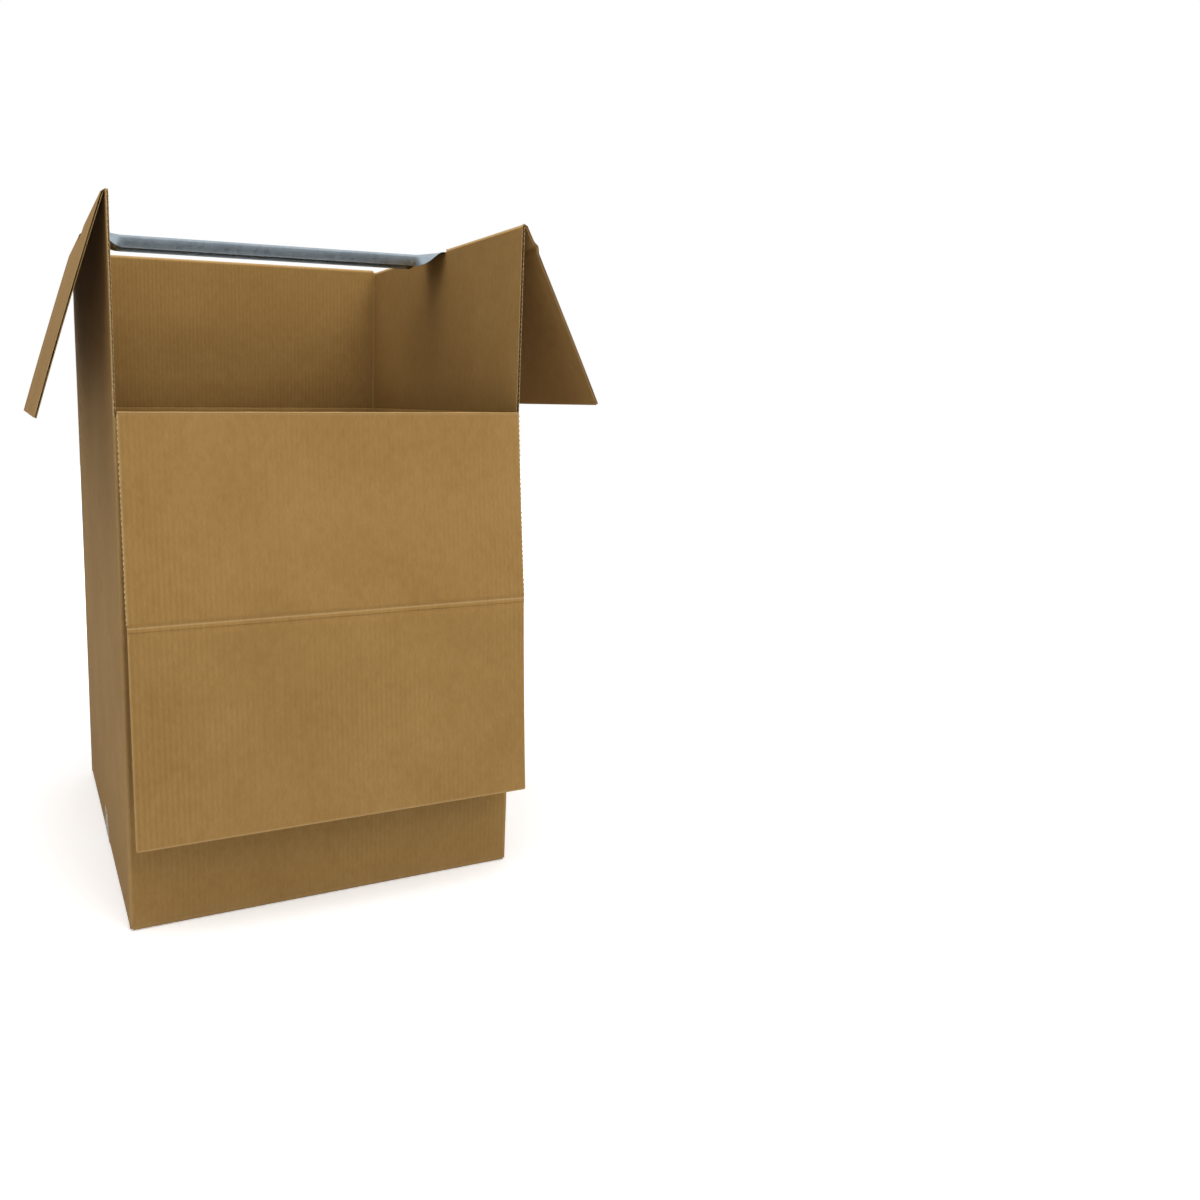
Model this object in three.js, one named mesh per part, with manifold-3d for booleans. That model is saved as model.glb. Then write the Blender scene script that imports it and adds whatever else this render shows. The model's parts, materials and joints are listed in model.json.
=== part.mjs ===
// Wardrobe moving carton: a tall corrugated box stood open. Its front has a drop-down access panel,
// its four top flaps are folded out, and a sheet-steel hanger bar lies across it. Millimetres, +Z up,
// front towards -Y, origin at the centre of the underside.
import * as THREE from 'three'
import { mergeVertices } from 'three/addons/utils/BufferGeometryUtils.js'
import Module from 'manifold-3d'

const wasm = await Module()
wasm.setup()

// Driving dimensions of the carton
const WIDTH = 610 // outside, left to right
const DEPTH = 610 // outside, front to back
const SIDE_HEIGHT = 1016 // floor to the creases of the side flaps
const BOARD = 4 // thickness of the corrugated board
const ACCESS_HEIGHT = 285 // fold line of the access panel to the crease above it
const CORNER_RADIUS = 5.5 // outside of every bend
const SLOT_HALF = 5 // half of a corner slot, so each flap is this much short of its corner
const CREASE_GAP = 0.3 // between the two sides of a crease
const LAYER_GAP = 0.5 // between closed flaps that lie on each other
const SEAM = 3 // between two flaps that meet
const PANEL_INSET = 5 // access panel to the outside of the side walls
const CUT_SETBACK = 2 // front plane to the raw edges of the side walls
const NOTCH_DEPTH = 6 // relief cut at each end of the access panel's fold
const FREE_CORNER = 3 // radius at a flap's free corners
const SCORE_DEPTH = 0.8 // crease line pressed round the inside, level with the fold
const SCORE_HALF_HEIGHT = 1.6
const BEND_OVERLAP = 3 // straight stretch by which a bottom bend runs up into its wall

// Glued joint that closes the blank into a tube, inside the back left corner
const JOINT_WIDTH = 35
const JOINT_THICKNESS = 3
const JOINT_END_GAP = 25 // between the joint's ends and the creases
const JOINT_TAPER = 12

// Packing tape over the bottom seam
const TAPE_WIDTH = 50
const TAPE_THICKNESS = 0.3
const TAPE_RISE = 52 // how far its ends run up the side walls
const TAPE_SIDE_GAP = 0.3

// Hanger bar: a channel of sheet steel with hemmed legs, opened out flat at its ends
const SHEET = 0.8
const BAR_WIDTH = 44
const BAR_LEG = 20
const BAR_CORNER_RADIUS = 4.5 // outside of the channel's two bends
const HEM = 4
const FLARE = 48 // length over which the channel opens out
const FLARE_END_GAP = 4 // flat stretch inside the wall
const BAR_STEP = 4.8 // channel below its end plates
const PLATE_CLEARANCE = 0.8 // between an end plate and a closed side flap
const LIP_OVERHANG = 5 // lip beyond the wall
const LIP_DROP = 10
const LIP_RADIUS = 2.4
const SEAT_SIDE_GAP = 1.5
const LIP_CLEARANCE = 2

// How far each flap stands off its wall, in degrees
const LEFT_SPREAD = 18
const RIGHT_SPREAD = 28
const BACK_SPREAD = 12
const PANEL_SPREAD = 7
const FRONT_FLAP_SPREAD = 4.5

// Levels and lengths that follow
const HALF_WIDTH = WIDTH / 2
const HALF_DEPTH = DEPTH / 2
const INNER_RADIUS = CORNER_RADIUS - BOARD
const SIDE_CREASE = SIDE_HEIGHT
const OUTER_CREASE = SIDE_HEIGHT + BOARD + LAYER_GAP
const FOLD_LEVEL = OUTER_CREASE - ACCESS_HEIGHT
const SIDE_FLAP_LENGTH = (WIDTH - SEAM) / 2
const OUTER_FLAP_LENGTH = (DEPTH - SEAM) / 2
const BEND_TOP = CORNER_RADIUS + BEND_OVERLAP
const PLATE_TOP = SIDE_CREASE - BOARD - PLATE_CLEARANCE
const SEAT_LEVEL = PLATE_TOP - 2 * SHEET
const FOLDED_RIGHT_OUT = 180

// Channel section along the middle of its sheet: half web, bend and leg. Their length stays the same
// however far the channel opens.
const MID_RADIUS = BAR_CORNER_RADIUS - SHEET / 2
const HALF_WEB = BAR_WIDTH / 2 - BAR_CORNER_RADIUS
const BEND_LENGTH = (MID_RADIUS * Math.PI) / 2
const LEG_LENGTH = BAR_LEG - BAR_CORNER_RADIUS
const PLATE_HALF_WIDTH = HALF_WEB + BEND_LENGTH + LEG_LENGTH

const CUT_OVERRUN = 1 // how far a cutting solid passes the face it cuts

const CURVE_STEPS = 5
const FLARE_STEPS = 9

// Turns a closed geometry into a solid that can be cut and joined.
function solidOf(geometry) {
  const bare = geometry.clone()
  bare.deleteAttribute('normal')
  bare.deleteAttribute('uv')
  const merged = mergeVertices(bare, 1e-4)
  return new wasm.Manifold(new wasm.Mesh({
    numProp: 3,
    vertProperties: new Float32Array(merged.attributes.position.array),
    triVerts: new Uint32Array(merged.index.array),
  }))
}

// A solid as a named mesh.
function meshOf(name, solid, material) {
  const { vertProperties, triVerts } = solid.getMesh()
  const geometry = new THREE.BufferGeometry()
  geometry.setAttribute('position', new THREE.BufferAttribute(new Float32Array(vertProperties), 3))
  geometry.setIndex(new THREE.BufferAttribute(new Uint32Array(triVerts), 1))
  geometry.computeVertexNormals()
  const mesh = new THREE.Mesh(geometry, material)
  mesh.name = name
  return mesh
}

// A box between two corners.
function box(x0, x1, y0, y1, z0, z1) {
  const geometry = new THREE.BoxGeometry(x1 - x0, y1 - y0, z1 - z0)
  geometry.translate((x0 + x1) / 2, (y0 + y1) / 2, (z0 + z1) / 2)
  return solidOf(geometry)
}

// A box whose two ends along X may be given in either order.
function spanBox(xa, xb, y0, y1, z0, z1) {
  return box(Math.min(xa, xb), Math.max(xa, xb), y0, y1, z0, z1)
}

// An outline drawn in X and Y, raised from z0 to z1.
function upright(shape, z0, z1) {
  const geometry = new THREE.ExtrudeGeometry(shape, {
    depth: z1 - z0,
    bevelEnabled: false,
    curveSegments: CURVE_STEPS,
  })
  geometry.translate(0, 0, z0)
  return solidOf(geometry)
}

// An outline drawn in Y and Z, drawn out along X to both sides of the middle.
function alongX(shape, halfLength) {
  const geometry = new THREE.ExtrudeGeometry(shape, {
    depth: 2 * halfLength,
    bevelEnabled: false,
    curveSegments: CURVE_STEPS,
  })
  geometry.translate(0, 0, -halfLength)
  geometry.applyMatrix4(new THREE.Matrix4().makeBasis(
    new THREE.Vector3(0, 1, 0), new THREE.Vector3(0, 0, 1), new THREE.Vector3(1, 0, 0)))
  return solidOf(geometry)
}

// An outline drawn in X and Z, given a thickness along +Y from y0.
function alongY(shape, y0, y1) {
  const geometry = new THREE.ExtrudeGeometry(shape, {
    depth: y1 - y0,
    bevelEnabled: false,
    curveSegments: CURVE_STEPS,
  })
  geometry.applyMatrix4(new THREE.Matrix4().makeBasis(
    new THREE.Vector3(1, 0, 0), new THREE.Vector3(0, 0, 1), new THREE.Vector3(0, -1, 0)))
  geometry.translate(0, y1, 0)
  return solidOf(geometry)
}

// The outline through a list of corners.
function polygon(points) {
  return new THREE.Shape(points.map(([u, v]) => new THREE.Vector2(u, v)))
}

// A rectangle about the origin with round corners.
function roundedRectangle(width, depth, radius) {
  const [x, y] = [width / 2, depth / 2]
  const shape = new THREE.Shape()
  shape.moveTo(-x + radius, -y)
  shape.lineTo(x - radius, -y)
  shape.absarc(x - radius, -y + radius, radius, -Math.PI / 2, 0)
  shape.lineTo(x, y - radius)
  shape.absarc(x - radius, y - radius, radius, 0, Math.PI / 2)
  shape.lineTo(-x + radius, y)
  shape.absarc(-x + radius, y - radius, radius, Math.PI / 2, Math.PI)
  shape.lineTo(-x, -y + radius)
  shape.absarc(-x + radius, -y + radius, radius, Math.PI, 1.5 * Math.PI)
  return shape
}

// The four sides, each made as a front whose outer face is the plane y = 0 and then turned into its place.
const SIDES = {
  front: { turn: 0, out: HALF_DEPTH, half: HALF_WIDTH, crease: OUTER_CREASE },
  right: { turn: 90, out: HALF_WIDTH, half: HALF_DEPTH, crease: SIDE_CREASE },
  back: { turn: 180, out: HALF_DEPTH, half: HALF_WIDTH, crease: OUTER_CREASE },
  left: { turn: 270, out: HALF_WIDTH, half: HALF_DEPTH, crease: SIDE_CREASE },
}

function onSide(side, solid) {
  return solid.translate([0, -side.out, 0]).rotate([0, 0, side.turn])
}

// The foot of a wall with the bottom flap bent in from it, in section.
function footOutline(level, reach) {
  const shape = new THREE.Shape()
  shape.moveTo(0, level + BEND_TOP)
  shape.lineTo(0, level + CORNER_RADIUS)
  shape.absarc(CORNER_RADIUS, level + CORNER_RADIUS, CORNER_RADIUS, Math.PI, 1.5 * Math.PI)
  shape.lineTo(reach, level)
  shape.lineTo(reach, level + BOARD)
  shape.lineTo(CORNER_RADIUS, level + BOARD)
  shape.absarc(CORNER_RADIUS, level + CORNER_RADIUS, INNER_RADIUS, 1.5 * Math.PI, Math.PI, true)
  shape.lineTo(BOARD, level + BEND_TOP)
  return shape
}

// What the 45 degree crush of a crease takes off the top of a wall.
function creaseCut(side) {
  const top = side.crease - CREASE_GAP / 2
  const in_ = BOARD + CUT_OVERRUN
  return onSide(side, alongX(polygon([
    [-CUT_OVERRUN, top],
    [0, top],
    [in_, top - in_],
    [in_, top + OUTER_CREASE - SIDE_CREASE + in_],
    [-CUT_OVERRUN, top + OUTER_CREASE - SIDE_CREASE + in_],
  ]), side.half - SLOT_HALF))
}

// The crease line pressed into the inner face of a wall, level with the fold.
function scoreCut(side) {
  return onSide(side, alongX(polygon([
    [BOARD - SCORE_DEPTH, FOLD_LEVEL],
    [BOARD + CUT_OVERRUN, FOLD_LEVEL - SCORE_HALF_HEIGHT * (1 + CUT_OVERRUN / SCORE_DEPTH)],
    [BOARD + CUT_OVERRUN, FOLD_LEVEL + SCORE_HALF_HEIGHT * (1 + CUT_OVERRUN / SCORE_DEPTH)],
  ]), side.half - CORNER_RADIUS))
}

function makeCartonBody() {
  const outline = roundedRectangle(WIDTH, DEPTH, CORNER_RADIUS)
  outline.holes.push(roundedRectangle(WIDTH - 2 * BOARD, DEPTH - 2 * BOARD, INNER_RADIUS))
  let body = upright(outline, BOARD, OUTER_CREASE - CREASE_GAP / 2)

  // Bottom flaps: the front and back pair lies outside, the side pair on top of it.
  for (const side of Object.values(SIDES)) {
    const outerPair = side.crease === OUTER_CREASE
    const level = outerPair ? 0 : BOARD
    const foot = alongX(footOutline(level, side.out - SEAM / 2), side.half - SLOT_HALF)
    const room = box(-side.half + SLOT_HALF, side.half - SLOT_HALF,
      -CUT_OVERRUN, CORNER_RADIUS + CUT_OVERRUN, 0, level + BEND_TOP - CUT_OVERRUN)
    body = body.subtract(onSide(side, room)).add(onSide(side, foot))
  }

  // The joint: a strip of the back wall turned round the corner and glued to the left wall.
  const joint = onSide(SIDES.right, alongY(polygon([
    [-HALF_DEPTH + BOARD, 2 * BOARD + JOINT_END_GAP],
    [-HALF_DEPTH + BOARD + JOINT_WIDTH, 2 * BOARD + JOINT_END_GAP + JOINT_TAPER],
    [-HALF_DEPTH + BOARD + JOINT_WIDTH, SIDE_CREASE - JOINT_END_GAP - JOINT_TAPER],
    [-HALF_DEPTH + BOARD, SIDE_CREASE - JOINT_END_GAP],
  ]), BOARD, BOARD + JOINT_THICKNESS)).rotate([0, 0, FOLDED_RIGHT_OUT])
  body = body.add(joint)

  // Everything above the fold is open at the front, and the side walls end in raw edges there.
  const above = OUTER_CREASE + CUT_OVERRUN
  const inside = HALF_WIDTH - BOARD
  const fold = FOLD_LEVEL - CREASE_GAP / 2
  body = body.subtract(box(-inside, inside,
    -HALF_DEPTH - CUT_OVERRUN, -HALF_DEPTH + CORNER_RADIUS + CUT_OVERRUN, fold, above))
  body = body.subtract(box(-HALF_WIDTH - CUT_OVERRUN, HALF_WIDTH + CUT_OVERRUN,
    -HALF_DEPTH - CUT_OVERRUN, -HALF_DEPTH + CUT_SETBACK, fold, above))
  for (const end of [-1, 1]) {
    body = body.subtract(spanBox(end * (HALF_WIDTH - PANEL_INSET), end * (HALF_WIDTH - BOARD / 2),
      -HALF_DEPTH - CUT_OVERRUN, -HALF_DEPTH + BOARD + CUT_OVERRUN, fold - NOTCH_DEPTH, above))
  }

  // The side walls are one board lower than the back, and slots part the flaps at the corners.
  const sideTop = SIDE_CREASE - CREASE_GAP / 2
  body = body.subtract(box(-HALF_WIDTH - CUT_OVERRUN, HALF_WIDTH + CUT_OVERRUN,
    -HALF_DEPTH - CUT_OVERRUN, HALF_DEPTH - SLOT_HALF, sideTop, above))
  for (const end of [-1, 1]) {
    body = body.subtract(spanBox(end * (HALF_WIDTH - SLOT_HALF), end * (HALF_WIDTH + CUT_OVERRUN),
      HALF_DEPTH - 2 * SLOT_HALF, HALF_DEPTH + CUT_OVERRUN, sideTop, above))
  }
  for (const side of [SIDES.left, SIDES.right, SIDES.back]) {
    body = body.subtract(creaseCut(side)).subtract(scoreCut(side))
  }

  // Seats for the hanger bar, and the tape pressed into the bottom flaps.
  const seatHalf = PLATE_HALF_WIDTH + SEAT_SIDE_GAP
  for (const side of [SIDES.left, SIDES.right]) {
    body = body.subtract(onSide(side, box(-seatHalf, seatHalf, -CUT_OVERRUN, BOARD + CUT_OVERRUN,
      SEAT_LEVEL, above)))
  }
  const tapeHalf = TAPE_WIDTH / 2 + TAPE_SIDE_GAP
  return body.subtract(box(-HALF_WIDTH, HALF_WIDTH, -tapeHalf, tapeHalf, -CUT_OVERRUN, TAPE_THICKNESS))
}

// A flap as it stands straight up from its crease: outer liner in y = 0, crease along X at z = 0.
function makeFlap(halfWidth, length, rootCut) {
  const shape = new THREE.Shape()
  shape.moveTo(-halfWidth, 0)
  shape.lineTo(halfWidth, 0)
  shape.lineTo(halfWidth, length - FREE_CORNER)
  shape.absarc(halfWidth - FREE_CORNER, length - FREE_CORNER, FREE_CORNER, 0, Math.PI / 2)
  shape.lineTo(-halfWidth + FREE_CORNER, length)
  shape.absarc(-halfWidth + FREE_CORNER, length - FREE_CORNER, FREE_CORNER, Math.PI / 2, Math.PI)
  return alongY(shape, 0, BOARD).subtract(rootCut)
}

// The crushed root of a flap that also folds inwards.
function mitredRoot(halfWidth) {
  const gap = CREASE_GAP / 2
  const in_ = BOARD + CUT_OVERRUN
  return alongX(polygon([
    [-CUT_OVERRUN, -CUT_OVERRUN],
    [in_, -CUT_OVERRUN],
    [in_, gap + in_],
    [0, gap],
    [-CUT_OVERRUN, gap],
  ]), halfWidth + CUT_OVERRUN)
}

function makeSideFlap() {
  const halfWidth = HALF_DEPTH - SLOT_HALF
  const lipFoot = SIDE_CREASE - PLATE_TOP + LIP_DROP
  const slotReach = Math.hypot(lipFoot, LIP_OVERHANG) + LIP_CLEARANCE
  const slotHalf = PLATE_HALF_WIDTH + SEAT_SIDE_GAP + LIP_CLEARANCE
  const slot = box(-slotHalf, slotHalf, -CUT_OVERRUN, BOARD + CUT_OVERRUN, -CUT_OVERRUN, slotReach)
  return makeFlap(halfWidth, SIDE_FLAP_LENGTH, mitredRoot(halfWidth).add(slot))
}

function makeOuterFlap() {
  const halfWidth = HALF_WIDTH - SLOT_HALF
  return makeFlap(halfWidth, OUTER_FLAP_LENGTH, mitredRoot(halfWidth))
}

// The access panel as it stands straight up in the front wall, mitred at its upper crease only.
function makeDropPanel() {
  const halfWidth = HALF_WIDTH - PANEL_INSET
  const gap = CREASE_GAP / 2
  const in_ = BOARD + CUT_OVERRUN
  const top = ACCESS_HEIGHT - gap
  const mitre = alongX(polygon([
    [-CUT_OVERRUN, top],
    [0, top],
    [in_, top - in_],
    [in_, top + in_],
    [-CUT_OVERRUN, top + in_],
  ]), halfWidth + CUT_OVERRUN)
  return box(-halfWidth, halfWidth, 0, BOARD, gap, ACCESS_HEIGHT).subtract(mitre)
}

// The bar's section as points across and along its normal, with the top of the web at 0 and the legs
// turned down by the angle.
function channelSection(legAngle) {
  const middle = []
  const place = (distance) => {
    const bent = Math.min(Math.max(distance - HALF_WEB, 0), BEND_LENGTH)
    const turned = (legAngle * bent) / BEND_LENGTH
    const radius = legAngle > 0 ? BEND_LENGTH / legAngle : 0
    const straight = Math.max(distance - HALF_WEB - BEND_LENGTH, 0)
    const across = legAngle > 0 ? radius * Math.sin(turned) : bent
    const down = legAngle > 0 ? radius * (1 - Math.cos(turned)) : 0
    return {
      across: Math.min(distance, HALF_WEB) + across + straight * Math.cos(turned),
      up: -SHEET / 2 - down - straight * Math.sin(turned),
      turned,
    }
  }
  for (let i = 0; i <= CURVE_STEPS; i++) middle.push(place(HALF_WEB + (BEND_LENGTH * i) / CURVE_STEPS))
  const hemTop = place(PLATE_HALF_WIDTH - HEM)
  const edge = place(PLATE_HALF_WIDTH)
  const off = (p, d) => [p.across + d * Math.sin(p.turned), p.up + d * Math.cos(p.turned)]
  const outer = [...middle, hemTop, edge].map((p) => off(p, SHEET / 2))
  const hemmed = [edge, hemTop].map((p) => off(p, -SHEET / 2 - SHEET))
  const inner = [hemTop, ...middle.reverse()].map((p) => off(p, -SHEET / 2))
  const right = [...outer, ...hemmed, ...inner]
  const left = right.map(([a, n]) => [-a, n]).reverse()
  return [...right, ...left]
}

// Where the bar's sections stand, from the middle to one end: place of the web's top, lean and leg angle.
function barStations() {
  const open = HALF_WIDTH - BOARD - FLARE_END_GAP
  const channel = open - FLARE
  const lipStart = HALF_WIDTH + LIP_OVERHANG - LIP_RADIUS
  const stations = []
  for (let i = 0; i <= FLARE_STEPS; i++) {
    const t = i / FLARE_STEPS
    const rise = t * t * (3 - 2 * t)
    stations.push({
      x: channel + FLARE * t,
      z: PLATE_TOP - BAR_STEP * (1 - rise),
      lean: 0,
      legs: (Math.PI / 2) * (1 - rise),
    })
  }
  for (let i = 0; i <= CURVE_STEPS; i++) {
    const lean = (Math.PI / 2) * (i / CURVE_STEPS)
    stations.push({
      x: lipStart + LIP_RADIUS * Math.sin(lean),
      z: PLATE_TOP - LIP_RADIUS * (1 - Math.cos(lean)),
      lean,
      legs: 0,
    })
  }
  stations.push({ x: HALF_WIDTH + LIP_OVERHANG, z: PLATE_TOP - LIP_DROP, lean: Math.PI / 2, legs: 0 })
  return stations
}

// A skin over sections with equal numbers of points, closed at both ends. The outline is the end
// sections' own shape.
function loft(sections, endOutline) {
  const count = sections[0].length
  const positions = sections.flat().flatMap((p) => [p.x, p.y, p.z])
  const index = []
  for (let s = 0; s + 1 < sections.length; s++) {
    for (let i = 0; i < count; i++) {
      const [a, b] = [s * count + i, s * count + ((i + 1) % count)]
      index.push(a, b + count, b, a, a + count, b + count)
    }
  }
  const last = (sections.length - 1) * count
  const flat = endOutline.map(([u, v]) => new THREE.Vector2(u, v))
  for (const [a, b, c] of THREE.ShapeUtils.triangulateShape(flat, [])) {
    index.push(a, c, b, last + a, last + b, last + c)
  }
  const geometry = new THREE.BufferGeometry()
  geometry.setAttribute('position', new THREE.Float32BufferAttribute(positions, 3))
  geometry.setIndex(index)
  return solidOf(geometry)
}

function makeHangerBar() {
  const half = barStations()
  const stations = [
    ...half.map((s) => ({ ...s, hand: -1 })).reverse(),
    ...half.map((s) => ({ ...s, hand: 1 })),
  ]
  const sections = stations.map(({ x, z, lean, legs, hand }) => channelSection(legs).map(([across, up]) =>
    new THREE.Vector3(hand * (x + up * Math.sin(lean)), across, z + up * Math.cos(lean))))
  return loft(sections, channelSection(0))
}

// Tape under the bottom seam, turned up both side walls.
function makeBottomTape() {
  const [x, t, r] = [HALF_WIDTH, TAPE_THICKNESS, SLOT_HALF]
  const centre = r + t
  const shape = new THREE.Shape()
  shape.moveTo(-x - t, TAPE_RISE)
  shape.lineTo(-x - t, centre)
  shape.absarc(-x + r, centre, r + t, Math.PI, 1.5 * Math.PI)
  shape.lineTo(x - r, 0)
  shape.absarc(x - r, centre, r + t, -Math.PI / 2, 0)
  shape.lineTo(x + t, TAPE_RISE)
  shape.lineTo(x, TAPE_RISE)
  shape.lineTo(x, centre)
  shape.absarc(x - r, centre, r, 0, -Math.PI / 2, true)
  shape.lineTo(-x + r, t)
  shape.absarc(-x + r, centre, r, 1.5 * Math.PI, Math.PI, true)
  shape.lineTo(-x, TAPE_RISE)
  return alongY(shape, -TAPE_WIDTH / 2, TAPE_WIDTH / 2)
}

const kraft = new THREE.MeshStandardMaterial({ color: 0x91703f, roughness: 0.9, metalness: 0 })
const steel = new THREE.MeshStandardMaterial({ color: 0xb4bcc2, roughness: 0.35, metalness: 1 })
const tape = new THREE.MeshStandardMaterial({ color: 0xb9a98c, roughness: 0.25, metalness: 0 })

// A group at a side's crease, turned to that side and opened out by the angle from straight up.
function hinge(side, level, opened) {
  const corner = new THREE.Group()
  const turn = THREE.MathUtils.degToRad(side.turn)
  corner.position.set(side.out * Math.sin(turn), -side.out * Math.cos(turn), level)
  corner.rotation.z = turn
  const leaf = new THREE.Group()
  leaf.rotation.x = THREE.MathUtils.degToRad(opened)
  corner.add(leaf)
  return { corner, leaf }
}

const carton = new THREE.Group()
carton.add(meshOf('carton_body', makeCartonBody(), kraft))
carton.add(meshOf('bottom_tape', makeBottomTape(), tape))
carton.add(meshOf('hanger_bar', makeHangerBar(), steel))

const sideFlap = makeSideFlap()
const outerFlap = makeOuterFlap()

const left = hinge(SIDES.left, SIDE_CREASE, FOLDED_RIGHT_OUT - LEFT_SPREAD)
left.leaf.add(meshOf('left_flap', sideFlap, kraft))
carton.add(left.corner)

const right = hinge(SIDES.right, SIDE_CREASE, FOLDED_RIGHT_OUT - RIGHT_SPREAD)
right.leaf.add(meshOf('right_flap', sideFlap, kraft))
carton.add(right.corner)

const back = hinge(SIDES.back, OUTER_CREASE, FOLDED_RIGHT_OUT - BACK_SPREAD)
back.leaf.add(meshOf('back_flap', outerFlap, kraft))
carton.add(back.corner)

// The front flap hangs on the access panel's upper crease, which is its lower end while the panel is down.
const front = hinge(SIDES.front, FOLD_LEVEL, FOLDED_RIGHT_OUT - PANEL_SPREAD)
front.leaf.add(meshOf('drop_panel', makeDropPanel(), kraft))
const frontFlap = new THREE.Group()
frontFlap.position.z = ACCESS_HEIGHT
frontFlap.rotation.x = THREE.MathUtils.degToRad(PANEL_SPREAD - FRONT_FLAP_SPREAD)
frontFlap.add(meshOf('front_flap', outerFlap, kraft))
front.leaf.add(frontFlap)
carton.add(front.corner)

export default carton
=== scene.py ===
# %% [markdown]
# A wardrobe moving carton, stood open. It is one blank of corrugated board with a sheet-steel bar
# across it. The CAD model gives every piece its place. This script gives them their looks: two liners
# with fluted paper between them, crushed creases, torn perforations, tape and galvanised steel.

# %% Load the frame
import json
import math

import bmesh
import bpy
from mathutils import Matrix, Vector, noise


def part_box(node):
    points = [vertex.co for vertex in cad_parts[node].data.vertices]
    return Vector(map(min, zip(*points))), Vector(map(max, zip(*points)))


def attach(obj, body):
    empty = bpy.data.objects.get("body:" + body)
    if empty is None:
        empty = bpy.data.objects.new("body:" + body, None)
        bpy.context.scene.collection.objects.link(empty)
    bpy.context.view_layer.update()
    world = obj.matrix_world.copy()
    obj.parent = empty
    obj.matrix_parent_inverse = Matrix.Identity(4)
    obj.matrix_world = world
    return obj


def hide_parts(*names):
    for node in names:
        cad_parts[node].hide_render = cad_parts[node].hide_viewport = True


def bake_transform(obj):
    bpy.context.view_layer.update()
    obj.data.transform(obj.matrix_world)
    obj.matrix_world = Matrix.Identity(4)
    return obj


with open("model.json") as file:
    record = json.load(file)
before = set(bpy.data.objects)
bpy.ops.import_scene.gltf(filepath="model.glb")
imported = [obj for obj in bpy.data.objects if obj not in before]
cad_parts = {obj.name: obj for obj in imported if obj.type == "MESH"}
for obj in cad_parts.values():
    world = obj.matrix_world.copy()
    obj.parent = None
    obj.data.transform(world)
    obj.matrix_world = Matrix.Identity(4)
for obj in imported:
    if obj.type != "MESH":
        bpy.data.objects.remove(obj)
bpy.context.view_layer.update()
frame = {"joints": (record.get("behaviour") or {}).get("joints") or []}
joints = {joint["name"]: joint for joint in frame["joints"]}

# %% [markdown]
# The camera stands a little to the left, slightly above the fold, and looks down a little. The
# carton is left of the middle of the picture, so the lens is shifted.

# %% Camera
FRAME_PIXELS = 1200
FOCAL_PIXELS = 926.6
OPTICAL_AXIS = (365.0, 541.6)
SENSOR = 36.0
CAMERA_AT = (-0.438, -1.563, 0.757)
CAMERA_HEADING = 21.20
CAMERA_TILT = 8.83
CAMERA_ROLL = 0.45

lens = bpy.data.cameras.new("studio_camera")
lens.sensor_fit = "HORIZONTAL"
lens.sensor_width = SENSOR
lens.lens = FOCAL_PIXELS / FRAME_PIXELS * SENSOR
lens.shift_x = 0.5 - OPTICAL_AXIS[0] / FRAME_PIXELS
lens.shift_y = OPTICAL_AXIS[1] / FRAME_PIXELS - 0.5
camera = bpy.data.objects.new("studio_camera", lens)
camera.matrix_world = (
    Matrix.Translation(CAMERA_AT)
    @ Matrix.Rotation(math.radians(-CAMERA_HEADING), 4, "Z")
    @ Matrix.Rotation(math.radians(90 - CAMERA_TILT), 4, "X")
    @ Matrix.Rotation(math.radians(CAMERA_ROLL), 4, "Z")
)
bpy.context.scene.collection.objects.link(camera)
bpy.context.scene.camera = camera
bpy.context.scene.view_settings.view_transform = "Standard"
print("lens", round(lens.lens, 2), "shift", round(lens.shift_x, 3), round(lens.shift_y, 3))


# %% [markdown]
# A white studio: the world looks white to the camera and through film, but it lights the carton only
# softly. Gloss sees a white ceiling over grey walls, which gives the bar its bright top and its dark
# sides. A large soft lamp in front and above lights the front and leaves the left side in shade.

# %% Studio light
WORLD_LIGHT = 0.50
WORLD_WHITE = 1.0
GLOSS_WALLS = 0.13
GLOSS_CEILING = 1.1
CEILING_RISE = (0.05, 0.55)


def set_inputs(node, values):
    """Sets input sockets by name, with _ for a space."""
    for key, value in values.items():
        node.inputs[key.replace("_", " ")].default_value = value


def node_of(tree, kind, **inputs):
    """A shader node of that kind, with its input sockets set by name."""
    made = tree.nodes.new("ShaderNode" + kind)
    set_inputs(made, inputs)
    return made


def wire(tree, *pairs):
    """Links source sockets to target sockets, pair by pair."""
    for source, target in pairs:
        tree.links.new(source, target)


def math_node(tree, operation, a, b):
    """A Math node fed by sockets or plain numbers."""
    made = node_of(tree, "Math")
    made.operation = operation
    for socket, value in zip(made.inputs, (a, b)):
        if isinstance(value, (int, float)):
            socket.default_value = value
        else:
            tree.links.new(value, socket)
    return made.outputs[0]


def times(tree, a, b):
    """The product of two values."""
    return math_node(tree, "MULTIPLY", a, b)


def range_of(tree, value, source, target):
    """A value carried from one range to another, between whose ends it stays."""
    made = node_of(tree, "MapRange", From_Min=source[0], From_Max=source[1], To_Min=target[0],
                   To_Max=target[1])
    tree.links.new(value, made.inputs["Value"])
    return made


def material_with(name, **inputs):
    """A new material with its tree and its shader, whose own sockets are set by name."""
    made = bpy.data.materials.new(name)
    made.use_nodes = True
    shader = made.node_tree.nodes["Principled BSDF"]
    set_inputs(shader, inputs)
    return made, made.node_tree, shader


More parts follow.
